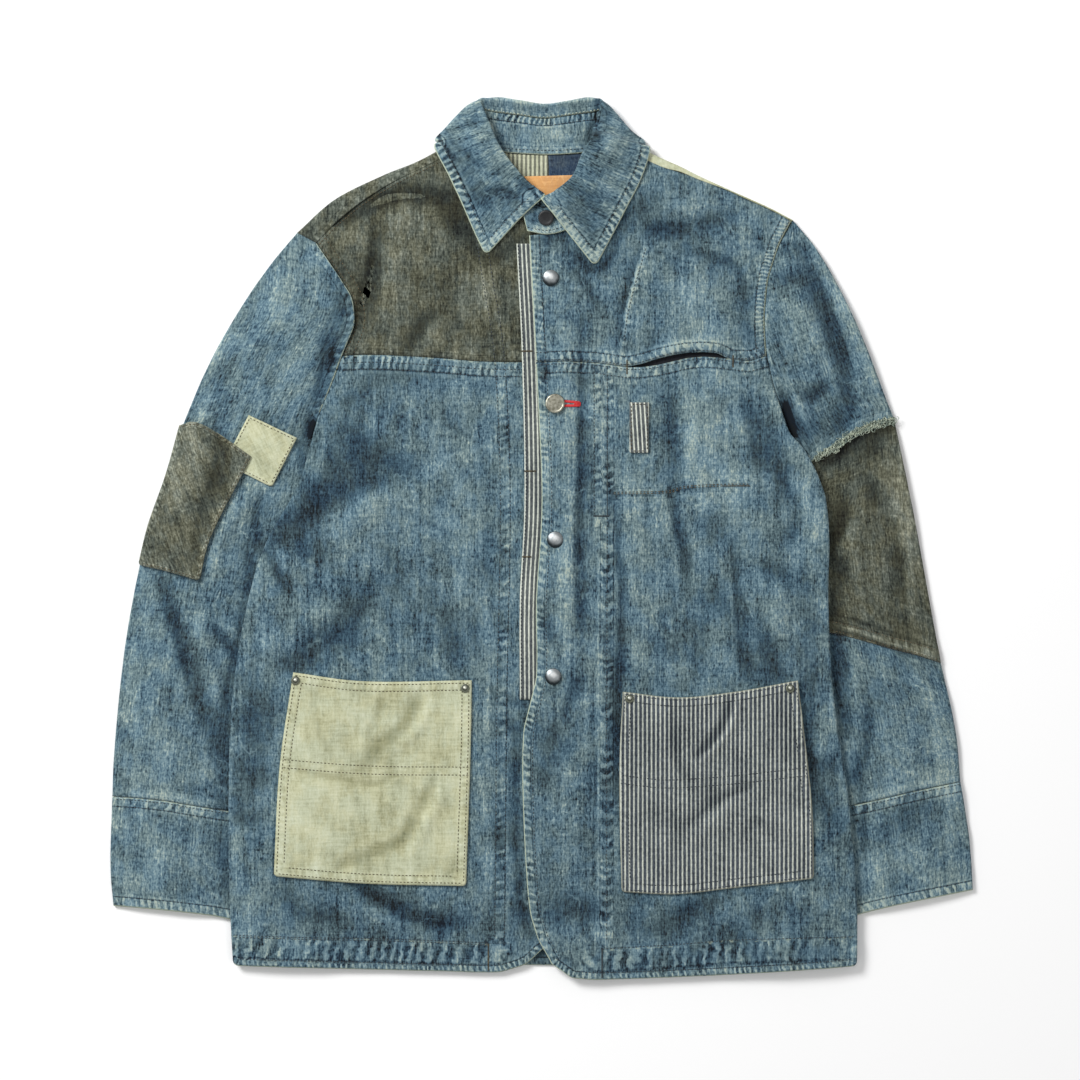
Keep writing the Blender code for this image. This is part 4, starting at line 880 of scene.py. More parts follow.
class Look:
    """A material under construction."""

    def __init__(self, name, **constants):
        self.material = bpy.data.materials.new(name)
        self.material.use_nodes = True
        self.tree = self.material.node_tree
        self.shader = self.tree.nodes["Principled BSDF"]
        for key, value in constants.items():
            self.shader.inputs[key.replace("_", " ")].default_value = value

    def add(self, kind, settings=None, values=None, out=0):
        """A node of a kind, with its settings and the values or links of its sockets."""
        node = self.tree.nodes.new(kind)
        for key, value in (settings or {}).items():
            if key == "stops":
                for k, (place, colour) in enumerate(value):
                    stops = node.color_ramp.elements
                    stop = stops[k] if k < 2 else stops.new(place)
                    stop.position, stop.color = place, colour
            else:
                setattr(node, key, value)
        for key, value in (values or {}).items():
            self.join(value, node.inputs[key])
        return Link(self, node.outputs[out])

    def join(self, value, socket):
        if isinstance(value, Link):
            self.tree.links.new(value.socket, socket)
        else:
            socket.default_value = value

    def value(self, name):
        """A value that the mesh carries on its points."""
        return self.add("ShaderNodeAttribute", {"attribute_name": name}, out=2)

    def grain(self):
        return self.add("ShaderNodeUVMap", {"uv_map": "grain"})

    def noise(self, place, over, along, detail=2.0, shift=0.0):
        """Noise about 0, with its own scale over and along the warp."""
        moved = self.add("ShaderNodeVectorMath", {"operation": "MULTIPLY_ADD"},
                         {0: place, 1: (over, along, over), 2: (shift, shift, shift)})
        values = {"Vector": moved, "Scale": 1.0, "Detail": detail}
        return self.add("ShaderNodeTexNoise", None, values) - 0.5

    def mix(self, share, first, second):
        return self.add("ShaderNodeMix", {"data_type": "RGBA"}, {0: share, 6: first, 7: second}, out=2)

    def finish(self, colour, height, strength=0.5, relief=0.0008):
        """Join a colour and a bump height to the shader and return the material."""
        self.join(colour, self.shader.inputs["Base Color"])
        bump = self.add("ShaderNodeBump", None,
                        {"Strength": strength, "Distance": relief, "Height": height})
        self.join(bump, self.shader.inputs["Normal"])
        return self.material


def dye(red, green, blue):
    """A swatch in screen values 0 to 255, as the linear colour that a shader wants."""
    return tuple((v / 255 / 12.92 if v <= 10 else ((v / 255 + 0.055) / 1.055) ** 2.4)
                 for v in (red, green, blue)) + (1.0,)


print("a mid indigo:", [round(v, 3) for v in dye(92, 118, 130)])

# %% [markdown]
# ## Denim
# Denim shows its warp: thick and thin indigo yarns over a pale weft. Washing leaves pale flecks
# along the warp, faint weft lines, cloudy patches and pale rungs at the seams. All of it, with the
# wear and painted shade of the folds, moves one value from dark to light, and a ramp turns that
# value into dye. The olive and plain cloths are woven the same way, so one function makes them all.

# %% Woven cloth
TURN = 6.2832      # one rung is one turn of a cosine


def wear_and_shade_value(look, place, fleck, slub, weft, cloud, seam, rub=0.14):
    """One value from dark (0) to light (1): yarns, wash, seams, and the wear and painted shade of the
    folds.
    """
    worn = look.value("worn")
    # lit is 1 where no painted shade darkens the cloth; the yarns show less in painted shade
    lit = worn.step(-0.45, 0.05)
    # yarns at four sizes, then clouds of wash
    yarns = (fleck * look.noise(place, 740, 230, 2.0)
             + 0.5 * fleck * look.noise(place, 620, 600, 2.0, 7.0)
             + slub * look.noise(place, 400, 16, 2.0, 5.0)
             + weft * look.noise(place, 60, 520, 2.0, 9.0)
             + 1.3 * cloud * look.noise(place, 125, 36, 3.0, 3.0)
             + cloud * look.noise(place, 42, 30, 4.0, 13.0))
    value = 0.48 + yarns * (0.55 + 0.45 * lit) + 0.7 * cloud * look.noise(place, 11, 8, 2.0, 21.0)
    # hair creases, rubbed pale here and there
    thread_like = look.noise(place, 40, 27, 3.0, 51.0)
    crease = 1 - (thread_like * thread_like).step(0.0, 0.0003)
    value = value + rub * crease * look.noise(place, 24, 24, 2.0, 71.0).step(-0.02, 0.12)
    # bars on the rungs inside a band, a dark groove at its seam and a pale line beyond
    across = look.value("across")
    inside = (1 - across.step(0.88, 1.02)) * across.step(0.0, 0.14)
    jitter = 8.0 * look.noise(place, 120, 120, 2.0, 31.0)
    patchy = look.noise(place, 48, 48, 2.0, 61.0).step(-0.18, 0.18)
    bars = (TURN * look.value("rungs") + jitter).cosine().step(-0.5, 1.0) - 0.40
    groove = across.step(0.84, 0.94) * (1 - across.step(0.96, 1.06))
    halo = across.step(1.02, 1.12) * (1 - across.step(1.14, 1.4))
    ladder = look.value("ladder") * seam
    rungs = inside * (0.25 + 0.75 * patchy) * 0.62 * bars
    value = value + ladder * (rungs - 0.24 * groove + 0.12 * halo)
    value = value + 0.15 * inside * look.value("bare")
    # wear and painted shade of the folds, broken up by the weave
    broken = 0.97 + (0.25 + 0.7 * lit) * look.noise(place, 64, 34, 2.0, 91.0)
    return value + 0.62 * worn * broken, across


def ramp(look, value, *stops):
    """Colour of a value from stops, each a place and a swatch."""
    dyes = [(place, dye(*swatch)) for place, swatch in stops]
    return look.add("ShaderNodeValToRGB", {"stops": dyes}, {"Fac": value})


def swatch_ramp(look, value, swatches, warmer=0):
    """Colour of a value from swatches, dark to light, leaning warmer (above 0) or colder."""
    last = len(swatches) - 1
    return ramp(look, value, *[(k / last, (red + warmer, green + 0.2 * warmer, blue - warmer))
                               for k, (red, green, blue) in enumerate(swatches)])


def woven(name, swatches, bare_colour, fleck=1.35, slub=0.72, weft=0.42, cloud=0.46, seam=1.45,
          twill=0.5, sheen=0.08, bare_share=1.0, lean=3.5, rub=0.2):
    """A woven cloth from a ramp of swatches, dark to light."""
    look = Look(name, Roughness=0.92, Specular_IOR_Level=0.2, Sheen_Weight=sheen, Sheen_Roughness=0.5)
    place = look.grain()
    value, across = wear_and_shade_value(look, place, fleck, slub, weft, cloud, seam, rub)
    leaning = look.noise(place, 52, 40, 3.0, 81.0) + 0.4 * look.noise(place, 300, 120, 2.0, 85.0)
    colour = look.mix(leaning.step(-0.16, 0.16), swatch_ramp(look, value, swatches, -lean),
                      swatch_ramp(look, value, swatches, lean))
    edge_wear = (1 - across.step(0.06, 0.17)) * look.value("bare") * bare_share
    rough_edge = (edge_wear + 2.0 * look.noise(place, 220, 220, 2.0, 41.0)).step(0.42, 0.72)
    colour = look.mix(rough_edge * edge_wear, colour, dye(*bare_colour))
    diagonal = look.add("ShaderNodeVectorMath", {"operation": "MULTIPLY"}, {0: place, 1: (560, 420, 0)})
    lines = look.add("ShaderNodeTexWave", {"wave_type": "BANDS", "bands_direction": "DIAGONAL"},
                     {"Vector": diagonal, "Scale": 1.0})
    height = value + twill * lines
    return look.finish(colour, height)


# the darkest swatches are reached in painted black shadow, such as the gaps at the armpits
BLUE = ((14, 22, 29), (43, 62, 74), (67, 91, 102), (90, 114, 124), (110, 134, 141), (131, 153, 157),
        (162, 179, 173))
OLIVE = ((12, 13, 10), (42, 45, 38), (62, 66, 56), (83, 87, 75), (103, 107, 94), (126, 130, 116),
         (156, 159, 142))
ECRU = ((100, 102, 76), (142, 144, 113), (167, 169, 138), (185, 188, 157), (197, 200, 171),
        (206, 210, 183), (216, 220, 196))
NIGHT = ((10, 16, 26), (34, 48, 66), (54, 70, 88), (80, 96, 108), (112, 126, 132))

blue_denim = woven("blue_denim", BLUE, (172, 184, 164))
olive_denim = woven("olive_denim", OLIVE, (150, 148, 124), fleck=1.12, slub=0.56, cloud=0.50,
                    seam=0.9, bare_share=0.7, lean=3.0, rub=0.06)
off_white = woven("off_white_cotton", ECRU, (206, 208, 182), fleck=0.45, slub=0.32, weft=0.44,
                  cloud=0.52, seam=0.5, twill=0.2, lean=2.0, rub=0.0)
indigo_cloth = woven("indigo_cloth", NIGHT, (120, 130, 130), fleck=0.8, slub=0.3, cloud=0.3,
                     seam=0.5, rub=0.05)
print("woven cloths ready")

# %% [markdown]
# ## Hickory stripe and the label
# Hickory stripe is a denim with white warp yarns at regular places. The stripe is a cosine over
# the warp, cut off near its top, so its width is one number.

# %% Striped cloth and the label
def striped(name, pitch, share, dark, pale, seam=0.6, bare_share=0.7):
    """Dark cloth with a pale stripe every pitch, over a share of the pitch."""
    look = Look(name, Roughness=0.9, Specular_IOR_Level=0.22, Sheen_Weight=0.06, Sheen_Roughness=0.5)
    place = look.grain()
    value, across = wear_and_shade_value(look, place, 0.8, 0.3, 0.35, 0.30, seam, 0.0)
    over = look.add("ShaderNodeSeparateXYZ", None, {0: place})
    wander = (0.0008 * look.noise(place, 30, 12, 2.0, 51.0)
              + 0.0005 * look.noise(place, 300, 260, 2.0, 53.0))
    stripe = ((over + wander) * (math.tau / (pitch * MM))).cosine()
    cut = math.cos(math.pi * share)
    mask = stripe.step(cut - 0.28, cut + 0.28)
    ground = ramp(look, value, (0.2, dark[0]), (0.75, dark[1]))
    yarn = ramp(look, value, (0.15, pale[0]), (0.8, pale[1]))
    colour = look.mix(mask, ground, yarn)
    bare = (1 - across.step(0.06, 0.18)) * look.value("bare")
    colour = look.mix(bare_share * bare, colour, dye(176, 178, 156))
    return look.finish(colour, value + 0.3 * mask)


hickory = striped("hickory_stripe", 3.85, 0.36, ((28, 34, 44), (84, 92, 100)),
                  ((130, 138, 134), (212, 216, 202)))
facing_stripe = striped("facing_stripe", 3.75, 0.34, ((44, 50, 58), (98, 104, 104)),
                        ((150, 158, 150), (226, 230, 216)), bare_share=0.2)
neck_stripe = striped("neck_stripe", 3.83, 0.50, ((84, 88, 78), (128, 130, 114)),
                      ((150, 154, 128), (212, 214, 188)))
TAN = ((184, 128, 76), (206, 152, 98), (226, 176, 118), (240, 198, 144))
label_cloth = woven("label_cloth", TAN, (232, 176, 120), fleck=0.2, slub=0.1, weft=0.5, cloud=0.2,
                    seam=0.2, twill=0.1)
print("striped cloths ready")

# %% [markdown]
# ## Thread, metal and button
# Thread is too fine for a weave, so it gets a slow change of shade. Pewter snaps and rivets are cast
# metal with a painted highlight a little above the middle of each cap, where the lamp would show in
# it, and the snaps have painted shade toward the rim. The collar button is dark horn, with a soft gloss.

# %% Small finishes
def plain(name, dark, pale, scale, relief=0.0002, **constants):
    """A finish that varies between two swatches over the object."""
    look = Look(name, **constants)
    place = look.add("ShaderNodeTexCoord", out=3)
    value = look.noise(place, scale, scale, 3.0) + 0.5
    colour = look.mix(value.step(0.3, 0.7), dye(*dark), dye(*pale))
    return look.finish(colour, value, 0.4, relief)


navy_thread = plain("navy_thread", (30, 38, 48), (72, 80, 84), 300, Roughness=0.8)
brown_thread = plain("brown_thread", (58, 50, 36), (104, 92, 68), 300, Roughness=0.8)
cream_thread = plain("cream_thread", (104, 122, 114), (206, 215, 194), 300, Roughness=0.85)
red_thread = plain("red_thread", (196, 40, 44), (226, 66, 66), 600, Roughness=0.7)
aged_silver = plain("aged_silver", (140, 138, 122), (196, 194, 178), 420, 0.00008, Roughness=0.4,
                    Metallic=1.0)
horn = plain("dark_button", (18, 20, 22), (36, 38, 40), 200, 0.0001, Roughness=0.5)
# near black: painted shadow inside the chest pocket, seen through its opening
shadow_cloth = plain("pocket_inside", (18, 20, 26), (30, 34, 40), 300, Roughness=0.95)


def cap_with_painted_highlight(name, highlight, mid, rim, roughness):
    """A metal cap with a painted highlight at one spot and the rim swatch further out; on snaps that is
    painted shade.
    """
    look = Look(name, Roughness=roughness, Metallic=1.0)
    place = look.add("ShaderNodeTexCoord", out=3)
    out = look.value("rim") + 0.35 * look.noise(place, 420, 420, 3.0)
    colour = look.mix(out.step(0.12, 0.55), dye(*highlight), dye(*mid))
    colour = look.mix(out.step(0.55, 1.05), colour, dye(*rim))
    return look.finish(colour, out, 0.3, 0.00002)


# snaps: a painted highlight, and painted shade toward the rim, stand in for reflections
snap_metal = cap_with_painted_highlight("snap_metal", (240, 243, 243), (160, 166, 168), (52, 60, 64), 0.45)
# rivets: a painted highlight
rivet_metal = cap_with_painted_highlight("rivet_metal", (226, 228, 214), (96, 100, 90), (120, 124, 110), 0.5)
print("thread and trim ready")

# %% [markdown]
# ## The back
# The back lies face down, so only its inside shows, through the neck: hickory stripe on one side,
# dark indigo on the other, and the label. Under them all the back panel runs from seam to seam.

# %% Back panel, neck pieces and label
grid = grid_on_solid("back_panel", ((-270, -374), (276, -374), (197, 160), (-175, 160)), 5.0)
grid = rounded(rounded(grid, 0, 0, 12), 0, -1, 8)
lay("back_cloth", "back_panel", grid, blue_denim, part="back", ripple=0.0,
    bands=(band(grid[0], 7, 6, bare=0.8, lift=0), band(grid[-1], 9, 7, lift=0)))
grid = grid_on_solid("back_neck_stripe", ((-37, 160), (5, 160), (5, 336), (-59, 347)), 3.0)
grid = grid + pulled(grid, (5, 325), 40, (4.5, 0))
lay("neck_stripe_cloth", "back_neck_stripe", grid, neck_stripe, ripple=0.2,
    bands=(band(grid[:, -1], 4, 6, bare=0.6, lift=0.2),))
grid = grid_on_solid("back_neck_dark", ((5, 160), (45, 160), (62, 346), (5, 336)), 3.0)
grid = grid + pulled(grid, (5, 325), 40, (4.5, 0))
lay("neck_indigo_cloth", "back_neck_dark", grid, indigo_cloth, ripple=0.2,
    bands=(band(grid[:, 0], 4, 6, lift=0.2),))
grid = grid_from_sides(straight((-15, 286), (45, 286), (45, 318.5), (-15, 317)), 2.0)
lay("neck_label_cloth", "neck_label", grid, label_cloth, wall=THIN, ripple=0.2,
    over=("neck_stripe_cloth", "neck_indigo_cloth"), bands=(band(grid[-1], 3, 4, lift=0.0),))

# %% [markdown]
# ## The folded shoulders
# The back yoke comes over the shoulder and is sewn to the front a little below it, so its fold is
# the outline of the shoulder. Each side is one sheet: flat underneath, round at the fold, and a
# narrow strip on top. A row of the table is one section across the shoulder.

# %% Back yoke, olive on one side and off-white on the other
Shoulder = namedtuple("Shoulder", "fold_x fold_y seam_x seam_y")
RIGHT_SHOULDER = (
    Shoulder(-214, 268, -197, 259), Shoulder(-181, 297, -172, 284), Shoulder(-139, 318, -139, 307),
    Shoulder(-105, 332, -103, 325), Shoulder(-61, 357, -59, 347))
LEFT_SHOULDER = (
    Shoulder(220, 279, 219.4, 278.4), Shoulder(199, 290, 198.6, 289.4),
    Shoulder(170, 303, 169.7, 302.4), Shoulder(139, 317, 138, 314), Shoulder(122, 325.5, 121, 321),
    Shoulder(104, 333.5, 103, 326), Shoulder(63, 353, 62, 346))


ON_TOP = 15        # rows of points from the seam in front to the fold
PALEST = 12        # the row where the fold is worn most


def shoulder_cloth(name, node, front, table, foot, finish):
    """A sheet from the seam in front, round the fold of the shoulder and down the back to its foot."""
    fold = through([(s.fold_x, s.fold_y) for s in table], 2.5)
    seam = spread(through([(s.seam_x, s.seam_y) for s in table]), len(fold) - 1)
    low = spread(np.array(foot, float), len(fold) - 1)
    level = landing_or_near(tree_of(front), seam) + 0.1
    rows = []
    for share in np.linspace(0, 1, ON_TOP):
        round_off = np.sqrt(1 - min(share ** 3, 1.0))
        spot = seam + (fold - seam) * share
        rows.append(np.c_[spot, level / 2 + level / 2 * round_off])
    for share in np.linspace(0.9, 0, 6):
        round_off = math.sqrt(1 - share ** 2)
        inward = (low - fold) / np.linalg.norm(low - fold, axis=1)[:, None]
        spot = fold + inward * (1 - share) * 4
        rows.append(np.c_[spot, level / 2 * (1 - round_off)])
    start = rows[-1][:, :2]
    for share in np.linspace(0, 1, 40)[1:]:
        rows.append(np.c_[start + (low - start) * share, np.zeros(len(low))])
    grid = np.array(rows)
    under = BVHTree.FromBMesh(faces_of(node, -1))
    flat = grid[ON_TOP:].reshape(-1, 3)
    for spot in flat:
        hit = under.ray_cast(Vector((spot[0] * MM, spot[1] * MM, -HIGH)), Vector((0, 0, 1)))[0]
        if hit is not None:
            spot[2] = max(spot[2], hit.z / MM)
    grid[ON_TOP:] = flat.reshape(grid[ON_TOP:].shape)
    spots = grid.reshape(-1, 3)
    values, _ = band_fields(spots[:, :2], (band(grid[0, :, :2], 6, 6, bare=0.4, ladder=0.4),))
    row = np.arange(len(spots)) // grid.shape[1]
    values["worn"] = 0.10 * np.exp(-np.abs(row - PALEST) / 3.0)
    normal_up = np.cross(grid[0, 1] - grid[0, 0], grid[1, 0] - grid[0, 0])[2] > 0
    grain = grid[..., :2].copy()
    if not normal_up:
        grid, grain = grid[:, ::-1], grain[:, ::-1]
        values = {k: np.reshape(v, grid.shape[:2])[:, ::-1] for k, v in values.items()}
    piece = show(name, as_mesh(name, grid, grain, values), WALL, finish)
    print(f"{name}: {grid.shape[0]} x {grid.shape[1]} points, fold up to {level.max():.1f} mm high")
    declare(piece, finish, node, flat=(0.245, 0.2))


shoulder_cloth("shoulder_olive_cloth", "back_yoke_right", "front_right_yoke", RIGHT_SHOULDER,
               ((-175, 160), (-37, 160)), olive_denim)
shoulder_cloth("shoulder_white_cloth", "back_yoke_left", "front_left_yoke", LEFT_SHOULDER,
               ((197, 160), (45, 160)), off_white)

# %% [markdown]
# ## The sleeves
# A sleeve lies flat as two layers that meet at its edges. Its rows run from the outer edge to the
# armhole and then to the inner edge, so the grain turns with the sleeve. The right sleeve is whole.
# The left one is pieced: a short denim sleeve with a frayed hem, an olive panel, then denim again.

# %% Both layers of each stretch of sleeve
Stretch = namedtuple("Stretch", "name corners waist pitch")
STRETCHES = (
    Stretch("sleeve_right", ((-376, -226), (-235, -242), (-197, 259), (-214, 268)),
            ((-322, 80), (-203, 80)), 2.4),
    Stretch("cuff_right", ((-375, -322), (-245, -340), (-235, -242), (-376, -226)), None, 2.2),
    Stretch("sleeve_left_panel", ((209, -80), (350, -109), (309, 105), (221, 68)), None, 2.4),
    Stretch("sleeve_left_upper", ((221, 68), (309, 105), (220, 279), (217, 274)),
            ((229, 80), (305, 114)), 2.2),
    Stretch("sleeve_left_lower", ((236, -240), (367, -213), (350, -109), (209, -80)), None, 2.4),
    Stretch("cuff_left", ((245, -339), (378, -308), (367, -213), (236, -240)), None, 2.2),
)
for stretch in STRETCHES:
    side = "sleeve_right" if "right" in stretch.name else "sleeve_left"
    olive = "panel" in stretch.name
    for layer in ("back", "front"):
        node = f"{stretch.name}_{layer}"
        pitch = stretch.pitch if layer == "front" else 7.0
        grid = grid_on_solid(node, stretch.corners, pitch, stretch.waist, soft=10)
        if stretch.name == "sleeve_left_upper":
            grid = grid + pulled(grid, (231, 76), 15, (2, -8))
        lines = sides_of(grid)
        bands = []
        if "cuff" in node:
            bands = [band(lines["south"], 8.5, 6, bare=1.0, ladder=0.8),
                     band(lines["north"], 8.5, 8, bare=0.6)]
        elif stretch.name == "sleeve_right":
            cap = lines["east"][lines["east"][:, 1] > 110]
            bands = [band(lines["south"], 3.0, 6, lift=0.1, ladder=0.3),
                     band(cap, 7, 8, bare=0.7, lift=0.2, ladder=0.35)]
        elif stretch.name == "sleeve_left_upper":
            bands = [band(lines["south"], 7, 5, bare=0.9, ladder=0.3),
                     band(lines["west"], 5, 7, bare=0.2, lift=0.1, ladder=0.2)]
        elif olive:
            bands = [band(lines["south"], 11, 7, bare=0.7, lift=0.5, ladder=0.4)]
        front = layer == "front"
        over = [f"{stretch.name}_back_cloth"] if front else []
        if node == "sleeve_left_upper_front":
            over.append("sleeve_left_panel_front_cloth")
        lay(f"{node}_cloth", node, grid, olive_denim if olive else blue_denim, over=over, bands=bands,
            part=side if front else None, grain=grain_along(grid), ripple=0.45 if front else 0.0,
            shade=0.06 if "cuff" in node else 0.0)

# %% [markdown]
# ## The fronts
# The right front carries a strip of hickory stripe along its edge. The left front laps over it and
# shows the chest pocket's opening between two seams. Each front hangs from a yoke. The hem is a
# deep turned band with its own upper row of stitches.

# %% Lines sewn across the fronts
RIGHT_FACING = through(((-62, 296), (-52, 230), (-41, 156), (-36, 34), (-39, -141), (-41, -350)), 4)
RIGHT_HEM_TOP = through(((-268, -347), (-204, -349), (-120, -351), (-46, -354)), 4)
LEFT_HEM_TOP = through(((53, -359), (120, -355), (174, -351), (274, -348)), 4)
LEFT_FACING = through(((46, 150), (46, 60), (46, 20)), 4)
LEFT_FACING_LOW = through(((57.5, 140), (57.5, 20), (57, -120), (57, -352)), 4)
LEFT_SEAM = through(((91, 254), (77, 204), (72, 172)), 4)
BAG_TOP = through(((63, 39), (110, 40), (124, 44), (159, 46), (182, 46)), 4)

grid = grid_on_solid("front_right", ((-270, -374), (6, -361), (27, 154), (-175, 160)), 2.4)
grid = rounded(grid, 0, 0, 5)
grid = grid + pulled(grid, (0, -358), 13, (0, 5))
lines = sides_of(grid)
lay("front_right_cloth", "front_right", grid, blue_denim, part="body", over=("back_cloth",),
    bands=(band(lines["south"], 6.5, 5, bare=0.9, ladder=0.75),
           band(RIGHT_HEM_TOP, 21, 10, side=-1, bare=0.45, ladder=0.65),
           band(lines["north"], 13, 6.5, bare=0.5, ladder=0.7),
           band(RIGHT_FACING, 9, 9, side=1, bare=0.35, lift=0.25, ladder=0.55)))
grid = grid_on_solid("front_right_yoke", ((-175, 160), (27, 154), (27, 265), (-197, 259)), 2.4, soft=10)
grid = grid + pulled(grid, (-12, 266), 22, (4, 12))
lines = sides_of(grid)
lay("front_right_yoke_cloth", "front_right_yoke", grid, olive_denim, part="body",
    bands=(band(lines["west"], 11, 6, bare=0.2, lift=0.5, ladder=0.3),
           band(lines["south"], 5, 6, lift=0.2, ladder=0.5),
           band(RIGHT_FACING, 9, 9, side=1, bare=0.2, lift=0.2, ladder=0.2)))
edge_line = through(((-22, 258), (-17, 154), (-15, 34), (-19, -54), (-19, -141)), 4)
STRIP_WIDTH = 30
far_line = edge_line + (STRIP_WIDTH, 0)
foot, head = [np.array([edge_line[k], far_line[k]]) for k in (-1, 0)]
grid = grid_from_sides((foot, far_line[::-1], head, edge_line[::-1]), 2.2)
lay("strip_cloth", "stripe_facing", grid, facing_stripe, part="body", wall=THIN, ripple=0.2,
    over=("front_right_cloth", "front_right_yoke_cloth"),
    grain=grain_along(grid) - grain_along(grid)[:, :1] * (1, 0) + (-0.7, 0),
    bands=(band(grid[:, 0], 3, 6, lift=0, ladder=0.2), band(grid[-1], 1.6, 3, bare=1.0, ladder=0)))
grid = grid_from_sides(straight((68, 36), (184, 42), (184, 168), (68, 162)), 5.0)
# the pocket bag is a near-black sheet of painted shadow under the pocket's opening
lay("chest_bag_cloth", "chest_pocket_bag", grid, shadow_cloth, wall=THIN, ripple=0.0)

# %% The left front and its yoke
grid = grid_on_solid("front_left", ((1, -371), (276, -371), (197, 160), (-5, 154)), 2.4)
grid = rounded(grid, 0, -1, 4)
from_edge = grid[..., 0] - grid[:, :1, 0]
swept = smooth(120, 300, -grid[..., 1]) * np.exp(-(from_edge / 45) ** 2)
grid = grid + swept[..., None] * (5.2, 0) + pulled(grid, (6, -366), 30, (2.6, -1.5))
lines = sides_of(grid)
under = ("back_cloth", "front_right_cloth", "strip_cloth", "chest_bag_cloth")
lay("front_left_cloth", "front_left", grid, blue_denim, part="body", over=under,
    bands=(band(lines["south"], 6.5, 5, bare=0.9, ladder=0.75),
           band(LEFT_HEM_TOP, 21, 10, side=-1, bare=0.45, ladder=0.65),
           band(lines["west"], 7.5, 6.6, bare=1.0, ladder=0.65),
           band(lines["north"], 10, 6.5, bare=0.5),
           band(LEFT_FACING, 11, 9, side=1, bare=0.3, lift=0.2, ladder=0.6),
           band(LEFT_FACING_LOW, 6, 10, bare=0.4, lift=0.1, ladder=0.6),
           band(BAG_TOP, 5, 7, lift=0.15, ladder=0.3)))
grid = grid_on_solid("front_left_yoke", ((-5, 154), (197, 160), (217, 274), (-11, 265)), 2.4, soft=10)
tip = through((grid[-1, -1], (198, 286), (169, 299), (138, 314)))
near_tip = nearest(grid.reshape(-1, 2), tip)[0]
out = np.exp(-(near_tip / 10) ** 2).reshape(grid.shape[:2]) * smooth(135, 168, grid[..., 0])
grid = grid + out[..., None] * np.array((1.6, 3.6))
grid = grid + pulled(grid, (130, 164), 22, (0, -1.6)) + pulled(grid, (166, 161), 8, (0, -1.6))
lines = sides_of(grid)
lay("front_left_yoke_cloth", "front_left_yoke", grid, blue_denim, part="body",
    over=("front_right_yoke_cloth", "strip_cloth", "chest_bag_cloth"),
    bands=(band(lines["west"], 9, 5.6, bare=1.0, ladder=0.55),
           band(lines["east"], 9, 3.4, bare=1.0, lift=0.5, ladder=0.6),
           band(lines["south"], 9, 6.5, bare=0.4, ladder=0.7),
           band(LEFT_SEAM, 4, 8, bare=0.4, lift=0.1, ladder=0.4)))

# %% [markdown]
# ## Pockets and patches
# These lie on a finished panel, so their height comes from the cloth under them. Their sides bow a
# little, because a washed patch shrinks between its corners.

# %% Pockets, tab and patches
def bowed(south, east, north, west):
    """Sides of a small piece as smooth lines; south and north run east, east and west run north."""
    return through(south), through(east), through(north), through(west)


def lay_on(node, sides, pitch, finish, on, width=8.0, rung=7.0, bare=0.7, part=None, grain=None,
           corner=3.0):
    """Lay a small piece on finished cloth, with a band round all its sides."""
    grid = grid_from_sides(sides, pitch)
    grid = rounded(rounded(grid, 0, 0, corner), 0, -1, corner)
    bands = [band(line, width, rung, bare=bare, lift=0.25) for line in sides_of(grid).values()]
    if grain:
        turn = math.radians(grain)
        spin = np.array(((math.cos(turn), -math.sin(turn)), (math.sin(turn), math.cos(turn))))
        grain = (grid - grid[0, 0]) @ spin
    lay(node + "_cloth", node, grid, finish, part=part, over=on, bands=bands, wall=THIN, ripple=0.25,
        grain=grain)


lay_on("pocket_right", bowed(
    ((-234, -295), (-153, -302), (-66, -304)), ((-66, -304), (-62, -187), (-61, -124)),
    ((-217, -117), (-153, -125), (-61, -124)), ((-234, -295), (-229, -201), (-217, -117))),
    2.2, off_white, ("front_right_cloth",), part="pocket", bare=0.2)
lay_on("pocket_left", bowed(
    ((70, -309), (118, -311), (172, -305), (238, -297)), ((238, -297), (236, -230), (224, -124)),
    ((71, -134), (120, -139), (169, -134), (224, -124)), ((70, -309), (68, -209), (71, -134))),
    2.2, hickory, ("front_left_cloth",), part="pocket")
lay_on("chest_tab", straight((77, 75), (94, 75), (94, 119), (77, 119)), 1.5,
       facing_stripe, ("front_left_cloth",), width=2.4, rung=4, bare=0.5, part="body",
       grain=3.5, corner=1.5)
lay_on("small_patch", straight((-278, 66), (-236, 45), (-214, 88), (-256, 108)), 1.8,
       off_white, ("sleeve_right_front_cloth",), width=3, rung=5, bare=0.3, grain=26)
lay_on("elbow_patch", bowed(
    ((-353, -23), (-326, -29), (-299, -37)), ((-299, -37), (-289, 2), (-259, 61), (-254, 72)),
    ((-317, 99), (-303, 102), (-283, 92), (-254, 72)),
    ((-353, -23), (-344.5, 12), (-329, 56), (-317, 99))),
    2.2, olive_denim, ("sleeve_right_front_cloth", "small_patch_cloth"), width=4, rung=6,
    bare=0.9, part="sleeve_right", grain=18)

# %% [markdown]
# ## The collar
# The stand goes up round the neck and the fall turns over it. Both are lofted through the same
# sections: each row of the table crosses the collar from the neck seam over the roll to the edge.
# Behind the neck the jacket lies on the fall, so there it is tucked under the back.

